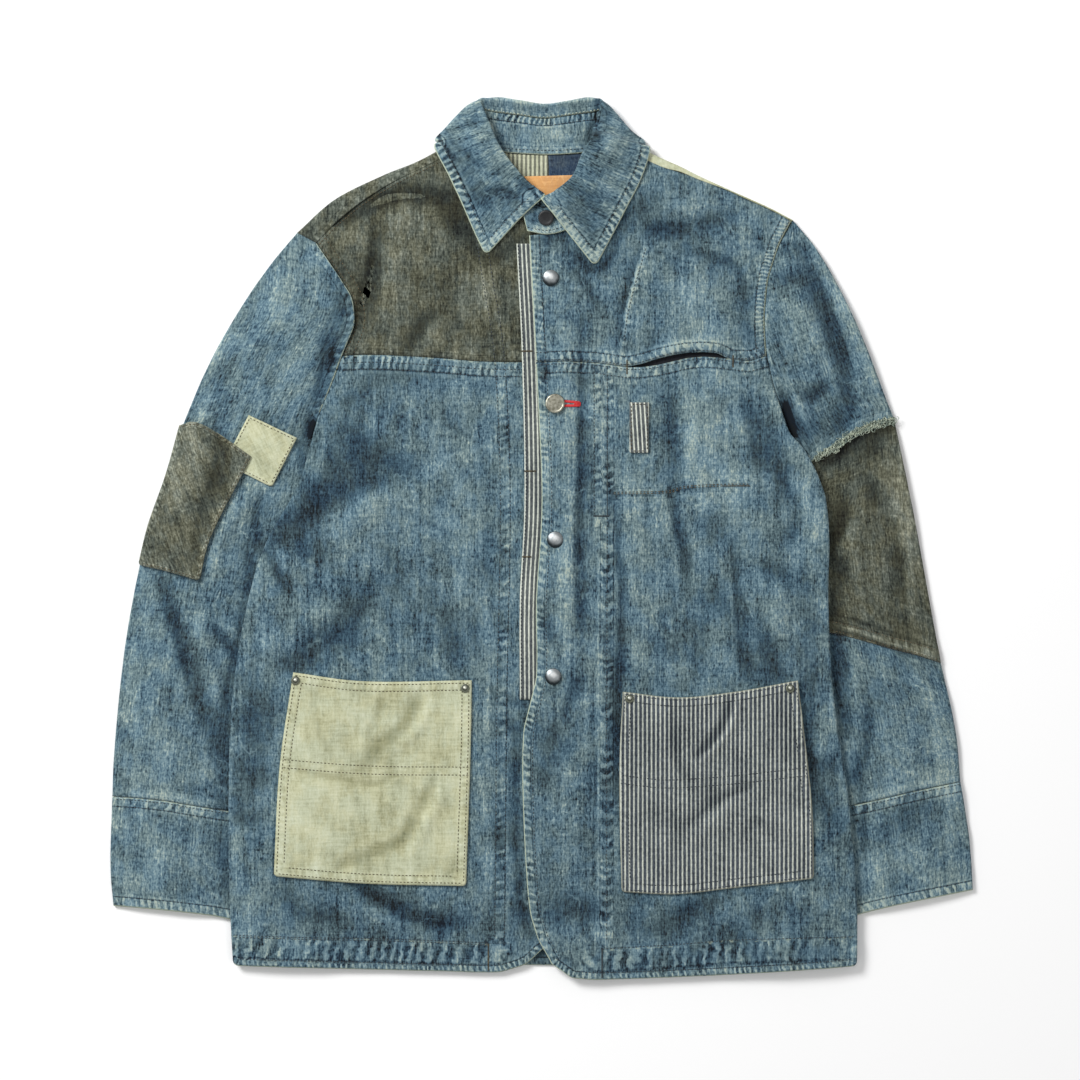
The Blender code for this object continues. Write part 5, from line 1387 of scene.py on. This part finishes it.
# %% Sections of the collar
Collar = namedtuple("Collar", "neck_x neck_y roll_x roll_y roll_z side_x side_y side_z edge_x edge_y"
                    " tucked")
COLLAR = (
    Collar(-2, 283, 3.2, 299.6, 9.5, -20.4, 277.6, 7.5, -48.8, 247, False),
    Collar(-19, 286, -13, 311.5, 8.8, -36, 293, 7.5, -58, 266, False),
    Collar(-41, 292, -26, 327, 8.5, -50, 309, 8.0, -68, 289, False),
    Collar(-55, 307, -36, 341, 9.5, -62, 327, 8.5, -80, 315, False),
    Collar(-59, 328, -43, 355, 10.5, -74, 347, 8.0, -93.5, 341.5, False),
    Collar(-59, 338, -46, 362, 14.5, -91, 349, 5.0, -88, 345, True),
    Collar(-58, 347, -49, 369, 14.0, -82.5, 359.5, 7.5, -76, 334, True),
    Collar(-52, 344, -53, 383, 12.0, -64, 378.5, 7.0, -60, 326, True),
    Collar(-38, 339, -40, 382.5, 9.5, -41, 385, 5.0, -42, 318, True),
    Collar(-18, 337, -20, 380, 8.5, -20, 382.5, 4.6, -21, 314, True),
    Collar(5, 336, 2, 377, 8.0, 2, 379.5, 4.4, 2, 312, True),
    Collar(27, 337, 24, 380, 8.5, 24, 382.5, 4.6, 25, 314, True),
    Collar(45, 339, 43, 382.5, 9.5, 44, 385, 5.0, 46, 318, True),
    Collar(55, 343, 52, 382, 12.0, 59.5, 377.5, 7.0, 64, 326, True),
    Collar(62, 347, 50, 366, 14.0, 76.5, 358, 7.5, 79, 335, True),
    Collar(62, 337, 47, 358, 14.5, 88.5, 347, 5.0, 89.5, 343, True),
    Collar(62, 328, 45, 351, 10.5, 77, 343, 8.0, 95, 339, False),
    Collar(58, 309, 36, 335, 9.5, 66, 322, 8.5, 87, 314, False),
    Collar(46, 290, 26.5, 314.5, 8.5, 53, 300, 8.0, 76, 292, False),
    Collar(28, 273, 13, 303.5, 8.0, 37, 281, 7.5, 63, 267, False),
    Collar(7, 266, -0.6, 296.6, 7.6, 20, 270.6, 7.0, 47, 237, False),
)
NECK_HALF = 56


def collar_section(row):
    """Neck, seam, roll, side, under and edge of one section, as points in space."""
    front = "front_right_yoke_cloth" if row.neck_x < 0 else "front_left_yoke_cloth"
    inside = row.tucked and abs(row.neck_x) <= NECK_HALF
    neck_piece = "back_neck_stripe" if row.neck_x < 5 else "back_neck_dark"
    neck = np.array((row.neck_x, row.neck_y), float)
    roll = np.array((row.roll_x, row.roll_y), float)
    side = np.array((row.side_x, row.side_y), float)
    edge_spot = np.array((row.edge_x, row.edge_y), float)
    floor = landing_or_near(tree_of(neck_piece) if inside else tops[front], [neck])[0] + 0.6
    base = landing_or_near(tops[front], [edge_spot])[0] + WALL
    if row.tucked:
        roll_z, side_z, under_z, edge_z = row.roll_z, row.side_z, 0.6, 0.6
    else:
        roll_z, side_z, edge_z = base + row.roll_z, base + 0.55 * row.side_z, base
        under_z = base + 0.2 * row.side_z
    seam = neck + 0.78 * (roll - neck)
    under = side + (0.12 if row.tucked else 0.6) * (edge_spot - side)
    heights = (floor, roll_z - 4.0, roll_z, side_z, under_z, edge_z)
    places = (neck, seam, roll, side, under, edge_spot)
    return np.array([(*spot, z) for spot, z in zip(places, heights)])


SECTIONS = np.array([collar_section(row) for row in COLLAR])
print("collar sections:", len(SECTIONS))

# %% Stand and fall
def out_of(grid):
    """The way out of a sheet in space at each point, towards the viewer above."""
    out = np.cross(np.gradient(grid, axis=1), np.gradient(grid, axis=0))
    out /= np.linalg.norm(out, axis=2)[..., None] + 1e-9
    return out * np.where(out[..., 2:] < 0, -1, 1)


def loft_cloth(name, node, grid, bands, part, flat):
    """A sheet lofted through points in space, puckered, with wear and painted shade, and placed."""
    over = runs_across(grid)
    run = runs_of(grid[:, grid.shape[1] // 3])
    grain = np.stack([np.broadcast_to(run[:, None], over.shape), over], axis=2)
    spots = grid.reshape(-1, 3)
    values, lift = band_fields(spots, bands)
    rise, shade = folds_at(spots[:, :2], part)
    raised = (rise + 0.5 * lift + pucker(values) + 0.2 * ripple_at(spots)).reshape(grid.shape[:2])
    # wear and painted shade of the folds, and the tone of slow waves
    values["worn"] = shade + UNEVEN * ripple_at(spots[:, :2] * 1.7)
    grid = grid + raised[..., None] * out_of(grid)
    grid[..., 2] = np.maximum(grid[..., 2], WALL / 2 + 0.05)
    mesh = as_mesh(name, grid, grain, values)
    bm = bmesh.new()
    bm.from_mesh(mesh)
    bmesh.ops.recalc_face_normals(bm, faces=bm.faces)
    if max(bm.faces, key=lambda face: face.calc_center_median().z).normal.z < 0:
        bmesh.ops.reverse_faces(bm, faces=bm.faces)
    bm.to_mesh(mesh)
    tops[name] = BVHTree.FromBMesh(bm)
    bm.free()
    sheets[name] = grid
    piece = show(name, mesh, WALL, blue_denim)
    piece.modifiers["wall"].offset = 0
    print(f"{name}: {grid.shape[0]} x {grid.shape[1]} points, {grid[..., 2].max():.1f} mm high")
    declare(piece, blue_denim, node, flat=flat)


start = SECTIONS[:, 1] + 0.02 * (SECTIONS[:, 2] - SECTIONS[:, 1]) + (0, 0, 0.9)
start[0, :2] = -8, 297
start[-1, :2] = 9, 290
half_way = SECTIONS[:, 2] + 0.5 * (SECTIONS[:, 3] - SECTIONS[:, 2]) + (0, 0, 1.8)
profile = np.stack([start, SECTIONS[:, 2], half_way, SECTIONS[:, 3], SECTIONS[:, 4], SECTIONS[:, 5]])
fall = lofted(lofted(profile, 8).transpose(1, 0, 2), 12)
fall = rounded(rounded(fall, 0, -1, 7), -1, -1, 7)
loft_cloth("collar_fall_cloth", "collar_fall", fall,
           (band(fall[:, -1], 9, 6, bare=1.0, ladder=0.85), band(fall[0], 9, 6, bare=1.0, ladder=0.85),
            band(fall[-1], 9, 6, bare=1.0, ladder=0.85),
            band(fall[60:-60, 0], 5, 5, bare=1.0, ladder=0.3)),
           "fall", flat=(0.56, 0.075))
tab_low, tab_high = np.array((-12.5, 268.8, 8.6)), np.array((-16.5, 285, 9.6))
low = np.vstack([SECTIONS[:, 0], tab_low])
high = np.vstack([SECTIONS[:-1, 1], (-2.5, 299, 11.0), tab_high])
stand = np.stack([low + share * (high - low) for share in (0, 0.33, 0.67, 1)])
stand = lofted(lofted(stand, 7).transpose(1, 0, 2), 10)
loft_cloth("collar_stand_cloth", "collar_stand", stand,
           (band(stand[:-30, -1], 7, 4.6, bare=0.2, ladder=0.9),
            band(stand[:, 0], 7, 6, bare=1.0, ladder=0.35),
            band(stand[-1], 6, 6, bare=1.0, ladder=0.35)),
           "stand", flat=(0.43, 0.032))

# %% [markdown]
# ## Stitches
# A stitch is a short, fat thread that dips into the cloth at both ends. One small capsule is
# copied along every row, and all rows of one thread become one mesh. Each row is a line, moved
# aside from the seam by the width of the presser foot.

# %% One stitch, and a row of them
def capsule():
    """Points and faces of one stitch, 1 long and 1 thick, lying along x."""
    bm = bmesh.new()
    bmesh.ops.create_icosphere(bm, subdivisions=1, radius=0.5)
    shape = np.array([v.co for v in bm.verts])
    faces = np.array([[v.index for v in f.verts] for f in bm.faces])
    bm.free()
    return shape, faces


STITCH, PITCH = 2.3, 3.2       # a stitch, and from one to the next
PROUD = 0.12                   # how far the middle of a stitch stands out of the cloth
BAR_PITCH, BAR_LIFT = 0.55, 0.15
SHAPE, FACES = capsule()
rows_sewn = {}


def put_stitches(thread, ends, ups, thick=0.8):
    """Keep stitches for later: their two ends and the way out of the cloth."""
    ends = np.asarray(ends, float)
    run = ends[:, 1] - ends[:, 0]
    size = np.linalg.norm(run, axis=1)[:, None]
    run = run / (size + 1e-9)
    side = np.cross(ups, run)
    side /= np.linalg.norm(side, axis=1)[:, None] + 1e-9
    up = np.cross(run, side)
    middle = ends.mean(axis=1) + PROUD * up
    shape = (middle[:, None] + SHAPE[None, :, :1] * run[:, None] * size[:, None]
             + SHAPE[None, :, 1:2] * side[:, None] * thick + SHAPE[None, :, 2:] * up[:, None] * thick)
    rows_sewn.setdefault(thread, []).append(shape.reshape(-1, 3))


def sew(thread, line, *on):
    """Sew along a plan line on finished cloth."""
    line = np.asarray(line, float)[:, :2]
    fine = spread(line, max(2, round(length_of(line) / PITCH)))
    first, last = fine[:-1], fine[:-1] + STITCH / PITCH * np.diff(fine, axis=0)
    heights = [np.nanmax([landing(tops[name], spots) for name in on], axis=0)
               for spots in (first, last)]
    good = ~np.isnan(heights[0] + heights[1])
    a, b = [np.c_[spots, z][good] for spots, z in zip((first, last), heights)]
    if len(a):
        put_stitches(thread, np.stack([a, b], axis=1), np.tile((0.0, 0.0, 1.0), (len(a), 1)))


def sew_edge(thread, grid, by):
    """Sew a row at a distance from the last column of a sheet in space, on its upper face."""
    both = np.concatenate([grid, out_of(grid)], axis=2)[:, ::-1]
    runs = runs_across(both[..., :3])
    line = np.array([[np.interp(by, run, row[:, k]) for k in range(6)] for run, row in zip(runs, both)])
    line[:, :3] += line[:, 3:] * WALL / 2
    along = runs_of(line[:, :3])
    at = np.linspace(0, along[-1], max(2, round(along[-1] / PITCH)) + 1)
    fine = np.stack([np.interp(at, along, line[:, k]) for k in range(6)], axis=1)
    first = fine[:-1, :3]
    last = first + STITCH / PITCH * np.diff(fine[:, :3], axis=0)
    put_stitches(thread, np.stack([first, last], axis=1), fine[:-1, 3:])


def inside(name, side, by, trim=0.0):
    """Line at a distance inside one side of a laid piece."""
    line = sides_of(sheets[name][..., :2])[side]
    return shifted(line, by if side in ("south", "east") else -by, trim)


def sew_in(thread, name, side, *insets, trim=0.0):
    """Rows of stitches at distances inside one side of a laid piece."""
    for inset in insets:
        sew(thread, inside(name, side, inset, trim * inset), name)


def sew_round(thread, name, insets, sides=("south", "east", "north", "west")):
    """Rows of stitches inside the sides of a small piece."""
    for inset in insets:
        for side in sides:
            sew_in(thread, name, side, inset, trim=1)


print("one stitch:", len(SHAPE), "points,", len(FACES), "faces")

# %% Rows on the jacket
RIGHT, RIGHT_YOKE = "front_right_cloth", "front_right_yoke_cloth"
LEFT, LEFT_YOKE = "front_left_cloth", "front_left_yoke_cloth"
RIGHT_POCKET, LEFT_POCKET = "pocket_right_cloth", "pocket_left_cloth"
sew_in("navy", RIGHT, "south", 6.2)
sew("navy", RIGHT_HEM_TOP, RIGHT)
sew("navy", shifted(RIGHT_HEM_TOP, -1.6), RIGHT)
sew_in("navy", RIGHT, "north", 6.3, 12.4)
sew("navy", RIGHT_FACING, RIGHT, RIGHT_YOKE)
sew("navy", shifted(RIGHT_FACING, 8.6), RIGHT, RIGHT_YOKE)
sew_in("brown", RIGHT_YOKE, "west", 2.0, 8.5)
sew_in("brown", RIGHT_YOKE, "north", 2.2)
sew_in("navy", LEFT, "south", 6.2)
sew("navy", LEFT_HEM_TOP, LEFT)
sew_in("navy", LEFT, "west", 8.8)
sew_in("navy", LEFT_YOKE, "west", 8.8)
for by in (2.0, 9.0):
    sew_in("navy", LEFT, "north", by)
    sew_in("navy", LEFT_YOKE, "south", by - 0.5)
    sew_in("navy", LEFT_YOKE, "east", by - 0.6)
for line in (LEFT_FACING, shifted(LEFT_FACING, 11.4), LEFT_FACING_LOW):
    sew("navy", line, LEFT)
sew("navy", LEFT_SEAM, LEFT_YOKE)
for line in (BAG_TOP, shifted(BAG_TOP, 1.5)):
    sew("brown", line, LEFT)
sew_round("brown", RIGHT_POCKET, (2.4, 8.4))
sew_round("navy", LEFT_POCKET, (2.2, 7.6))
sew_round("brown", "chest_tab_cloth", (1.6,))
sew_round("brown", "small_patch_cloth", (2.0,))
sew_round("brown", "elbow_patch_cloth", (2.0,), ("south", "east", "north"))
MID_RIGHT = through(((-229, -200), (-150, -206), (-63, -207)), 4)
MID_LEFT = through(((69, -214), (105, -218), (134, -217), (172, -214), (232, -207)), 4)
for by in (0, 7):
    sew("brown", shifted(MID_RIGHT, by), RIGHT_POCKET)
    sew("navy", shifted(MID_LEFT, by), LEFT_POCKET)
sew_in("navy", "strip_cloth", "west", 1.4)
for cuff in ("cuff_right_front_cloth", "cuff_left_front_cloth"):
    sew_in("navy", cuff, "south", 8.4)
    sew_in("navy", cuff, "north", 1.8, 8.2)
sew_in("brown", "sleeve_left_panel_front_cloth", "south", 1.8, 9.4)
collar = sheets["collar_fall_cloth"]
collar_ends = collar[:, 14:-6].transpose(1, 0, 2)
sew_edge("navy", collar[8:-8], 8.0)
sew_edge("navy", collar_ends[:, ::-1], 8.0)
sew_edge("navy", collar_ends, 8.0)
sew_edge("cream", collar[70:-70, ::-1], 1.2)
stand_grid = sheets["collar_stand_cloth"]
sew_edge("navy", stand_grid[40:-40], 6.4)
sew_edge("navy", stand_grid[:, ::-1], 3.6)
print("rows of stitches:", {thread: len(rows) for thread, rows in rows_sewn.items()})

# %% Bar tacks and the red buttonhole
def tack(thread, start, end, on, wide=1.8, thick=0.5):
    """A bar of close stitches across a short line."""
    start, end = np.array(start, float), np.array(end, float)
    count = max(3, round(np.linalg.norm(end - start) / BAR_PITCH))
    across = np.array((-(end - start)[1], (end - start)[0]))
    across = across / np.linalg.norm(across) * wide / 2
    spots = [start + (end - start) * k / count for k in range(count + 1)]
    pairs = [(spot - across, spot + across) for spot in spots]
    level = np.nanmax([landing(tops[name], spots) for name in on], axis=0)
    ends = [[(*a, z + BAR_LIFT), (*b, z + BAR_LIFT)] for (a, b), z in zip(pairs, level)
            if not np.isnan(z)]
    put_stitches(thread, ends, np.tile((0.0, 0.0, 1.0), (len(ends), 1)), thick)


TACKS = (
    ("brown", (167.6, 160), (167.6, 150), LEFT, LEFT_YOKE),
    ("brown", (74.8, 156), (74.8, 144), LEFT, LEFT_YOKE),
    ("brown", (-46.5, -355), (-46.5, -378), RIGHT),
    ("navy", (45.5, 19.7), (59, 19.7), LEFT),
    ("brown", (-19.5, 164), (-8, 164), "strip_cloth"),
    ("brown", (-16, 59), (-5, 59), "strip_cloth"),
    ("brown", (-19, -16), (-9, -16), "strip_cloth"))
for thread, start, end, *on in TACKS:
    tack(thread, start, end, on)
tack("brown", (158, 46), (182, 46), [LEFT], wide=1.2)
tack("navy", (53, -359), (53, -384), [LEFT])
for turn in (-1, 1):
    tack("red", (20, 118 + 2.0 * turn), (33.0, 117.6 + 1.3 * turn), [LEFT], wide=2.8, thick=0.8)
tack("red", (29.0, 117.6), (34.0, 117.6), [LEFT], wide=4.6, thick=0.8)
THREADS = {"navy": navy_thread, "brown": brown_thread, "cream": cream_thread, "red": red_thread}
for thread, finish in THREADS.items():
    points = np.concatenate(rows_sewn[thread])
    count = len(points) // len(SHAPE)
    faces = (FACES[None] + len(SHAPE) * np.arange(count)[:, None, None]).reshape(-1, 3)
    mesh = bpy.data.meshes.new(f"stitches_{thread}")
    mesh.from_pydata((points * MM).tolist(), [], faces.tolist())
    mesh.shade_smooth()
    placed(show(f"stitches_{thread}", mesh, 0, finish), finish)
    print(f"{thread} thread: {count} stitches")

# %% [markdown]
# ## The frayed hem
# The short left sleeve was cut off and left raw, so its weft threads hang out and its warp curls.
# Each strand is a thin tube swept along a small curl, seeded so that it is the same every time.

# %% Loose threads
FRAY_LINE = through(((240, 69.5), (248, 73), (257, 79), (265, 86), (273, 91), (281, 95), (290, 98),
                     (299, 101), (306, 103), (310, 103.5)), 1)


def strand(bm, line, thick):
    """Sweep a thin three-sided tube along a line of points."""
    before = None
    for j, spot in enumerate(line):
        size = thick * (1 - 0.5 * abs(2 * j / (len(line) - 1) - 1) ** 3)
        offsets = [(math.cos(a), math.sin(a) * 0.5, math.sin(a)) for a in (0.5, 2.6, 4.7)]
        ring = [bm.verts.new(Vector(spot + size * np.array(offset)) * MM) for offset in offsets]
        if before:
            for i in range(3):
                bm.faces.new((before[i], before[(i + 1) % 3], ring[(i + 1) % 3], ring[i]))
        else:
            bm.faces.new(ring[::-1])
        before = ring
    bm.faces.new(before)


def fray(name, node, finish, seed=5):
    """Matted loose threads along the raw hem of the short sleeve, each a thin tube."""
    chance = random.Random(seed)
    path = spread(FRAY_LINE, 300)
    cloths = [tops["sleeve_left_upper_front_cloth"], tops["sleeve_left_panel_front_cloth"]]
    level = np.nanmax([landing(tree, path) for tree in cloths] + [np.full(len(path), 3.0)], axis=0)
    level = eased(level[None], 6)[0]
    slope = np.gradient(path, axis=0)
    slope /= np.linalg.norm(slope, axis=1)[:, None]
    bm = bmesh.new()
    # six long cords of warp that wander along the edge
    downs = np.c_[slope[:, 1], -slope[:, 0], np.zeros(len(path))]
    flat = np.c_[path, level]
    for phase in range(6):
        turn = np.arange(len(path)) / 13 + 1.05 * phase
        aside = 0.6 + 1.7 * np.sin(turn) + 0.8 * np.sin(turn * 0.37 + phase)
        cord = flat + downs * aside[:, None] + np.c_[0 * turn, 0 * turn, 0.9 + 0.5 * np.cos(turn)]
        strand(bm, cord[40 + 25 * phase:296], 0.55)
    # short curls of weft, thicker where they have clumped
    for k in range(0, len(path), 3):
        along, down = np.array((*slope[k], 0)), downs[k]
        clump = 0.5 + 0.5 * math.sin(k / 7.0) * math.sin(k / 17.0 + 1.0)
        half = 2.1 + 0.9 * clump
        for _ in range(3):
            turn = chance.choice((0, math.pi)) + chance.uniform(-0.5, 0.5)
            bend = chance.choice((-1, 1)) * chance.uniform(0.25, 0.85)
            step = chance.uniform(0.6, 1.0)
            here = flat[k] + down * (chance.uniform(-half, half) - 0.6)
            here = here + (0, 0, chance.uniform(0.3, 1.4 + 1.0 * clump))
            line = []
            for j in range(9):
                way = turn + bend * j
                here = here + step * (math.cos(way) * along + 0.75 * math.sin(way) * down)
                line.append(here + (0, 0, 0.5 * math.sin(0.9 * j + 3 * turn)))
            strand(bm, line, chance.uniform(0.24, 0.42))
    bmesh.ops.recalc_face_normals(bm, faces=bm.faces)
    mesh = mesh_of(bm, name)
    placed(show(name, mesh, 0, finish), finish, node)
    print(f"{name}: {len(mesh.polygons)} faces")


fray("fray_threads", "sleeve_left_fray", cream_thread)

# %% [markdown]
# ## Snaps, buttons and rivets
# Round metal is turned: a half profile is spun about its axis. The profile is a list of radius and
# height, from the axis at the bottom round to the axis on top.

# %% Turned trim
def turned(node, profile, finish, steps=48, tilt=0.0, aside=(0, 0)):
    """Spin a profile at the place of the solid that it stands for."""
    name = node + "_cap"
    low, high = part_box(node)
    bm = bmesh.new()
    verts = [bm.verts.new((radius * MM, 0, height * MM)) for radius, height in profile]
    lines = [bm.edges.new(pair) for pair in zip(verts, verts[1:])]
    bmesh.ops.spin(bm, geom=verts + lines, cent=(0, 0, 0), axis=(0, 0, 1), angle=math.tau,
                   steps=steps, use_merge=True)
    bmesh.ops.remove_doubles(bm, verts=bm.verts, dist=1e-7)
    bmesh.ops.recalc_face_normals(bm, faces=bm.faces)
    middle = (low + high) / 2
    place = Vector((middle.x + aside[0] * MM, middle.y + aside[1] * MM, low.z + 0.25 * MM))
    if tilt:
        bmesh.ops.rotate(bm, verts=bm.verts, cent=(0, 0, 0), matrix=Matrix.Rotation(tilt, 3, "X"))
    bmesh.ops.translate(bm, verts=bm.verts, vec=place)
    mesh = mesh_of(bm, name)
    mesh.shade_smooth()
    widest = max(radius for radius, height in profile) * MM
    # the painted highlight is set a little above the middle of the cap, where the lamp would show in it;
    # rim grows away from it
    highlight = place + widest * Vector((0.05, 0.22, 0))
    rim = [(vert.co - highlight).xy.length / widest for vert in mesh.vertices]
    mesh.attributes.new("rim", "FLOAT", "POINT").data.foreach_set("value", rim)
    placed(show(name, mesh, 0, finish), finish, node)


SNAP = ((0, 0), (6.4, 0), (7.1, 0.3), (7.2, 0.8), (6.9, 1.15), (6.3, 1.25), (5.9, 1.5), (5.0, 2.0),
        (3.4, 2.45), (1.6, 2.68), (0, 2.72))
SHANK = ((0, 0), (3.4, 0), (3.4, 1.7), (7.2, 2.0), (8.3, 2.5), (8.5, 3.1), (8.3, 3.7), (7.8, 4.15),
         (7.2, 4.3), (6.8, 4.15), (6.4, 4.0), (5.9, 4.05), (3.0, 4.2), (0, 4.25))
BUTTON = ((0, 0), (6.0, 0), (6.7, 0.4), (6.9, 1.0), (6.7, 1.6), (6.0, 2.0), (5.2, 2.05), (4.6, 1.8),
          (4.0, 1.55), (2.4, 1.45), (0, 1.4))
RIVET = ((0, 0), (3.3, 0), (3.75, 0.25), (3.8, 0.55), (3.4, 0.85), (2.7, 0.95), (2.1, 0.8), (1.9, 0.95),
         (1.7, 1.3), (1.2, 1.55), (0, 1.62))
for name, aside in (("snap_top", (0, -2.2)), ("snap_middle", (1.0, 0)), ("snap_low", (2.2, 0.3))):
    turned(name, SNAP, snap_metal, aside=aside)
turned("shank_button", SHANK, aged_silver, aside=(-1.2, 0))
for name in ("rivet_right_outer", "rivet_right_inner", "rivet_left_inner", "rivet_left_outer"):
    turned(name, RIVET, rivet_metal, steps=32)
LEAN = math.radians(13)     # the collar button leans with the tab under it
turned("collar_button", BUTTON, horn, tilt=LEAN, aside=(1, 3.4))
print("trim turned")

# %% [markdown]
# ## Floor, light and camera
# The jacket lies on a white table and is seen from straight above, through a long lens so that it
# hardly narrows with height. One broad soft light stands high on the left and behind, and a pale
# room fills the shadows.

# %% Studio
PAPER_SIZE, PAPER_DEPTH = 6.0, 0.0006   # metres
VIEW_WIDTH, DISTANCE = 945.0, 3000.0    # what the lens takes in, and from how far
CENTRE, EYE = -1.3, DISTANCE + 6        # where the camera stands over the table


def floor_piece():
    """A broad sheet of white paper just under the jacket."""
    bm = bmesh.new()
    bmesh.ops.create_grid(bm, x_segments=1, y_segments=1, size=PAPER_SIZE)
    bmesh.ops.translate(bm, verts=bm.verts, vec=(0, 0, -PAPER_DEPTH))
    mesh = mesh_of(bm, "paper")
    look = Look("paper", Roughness=0.95)
    look.shader.inputs["Base Color"].default_value = (0.97, 0.97, 0.97, 1)
    mesh.materials.append(look.material)
    paper = bpy.data.objects.new("paper", mesh)
    bpy.context.scene.collection.objects.link(paper)


def lamp(name, place, size, power, target=(0, 0, 0)):
    """A square soft light that faces a target."""
    data = bpy.data.lights.new(name, "AREA")
    data.energy, data.size = power, size
    made = bpy.data.objects.new(name, data)
    made.location = place
    made.rotation_euler = (Vector(target) - Vector(place)).to_track_quat("-Z", "Y").to_euler()
    bpy.context.scene.collection.objects.link(made)


floor_piece()
lamp("softbox", (-1.7, 1.5, 1.9), 1.1, 86)
lamp("fill", (1.8, -0.8, 2.4), 2.0, 10)
world = bpy.data.worlds.new("room")
world.use_nodes = True
room = world.node_tree.nodes["Background"]
room.inputs["Color"].default_value = (1, 1, 1, 1)
room.inputs["Strength"].default_value = 0.48
bpy.context.scene.world = world
bpy.context.scene.view_settings.view_transform = "Standard"
camera = bpy.data.objects.new("camera", bpy.data.cameras.new("camera"))
camera.data.lens = camera.data.sensor_width * DISTANCE / VIEW_WIDTH
camera.location = (CENTRE * MM, CENTRE * MM, EYE * MM)
bpy.context.scene.collection.objects.link(camera)
bpy.context.scene.camera = camera
print("lens:", round(camera.data.lens, 1), "mm")
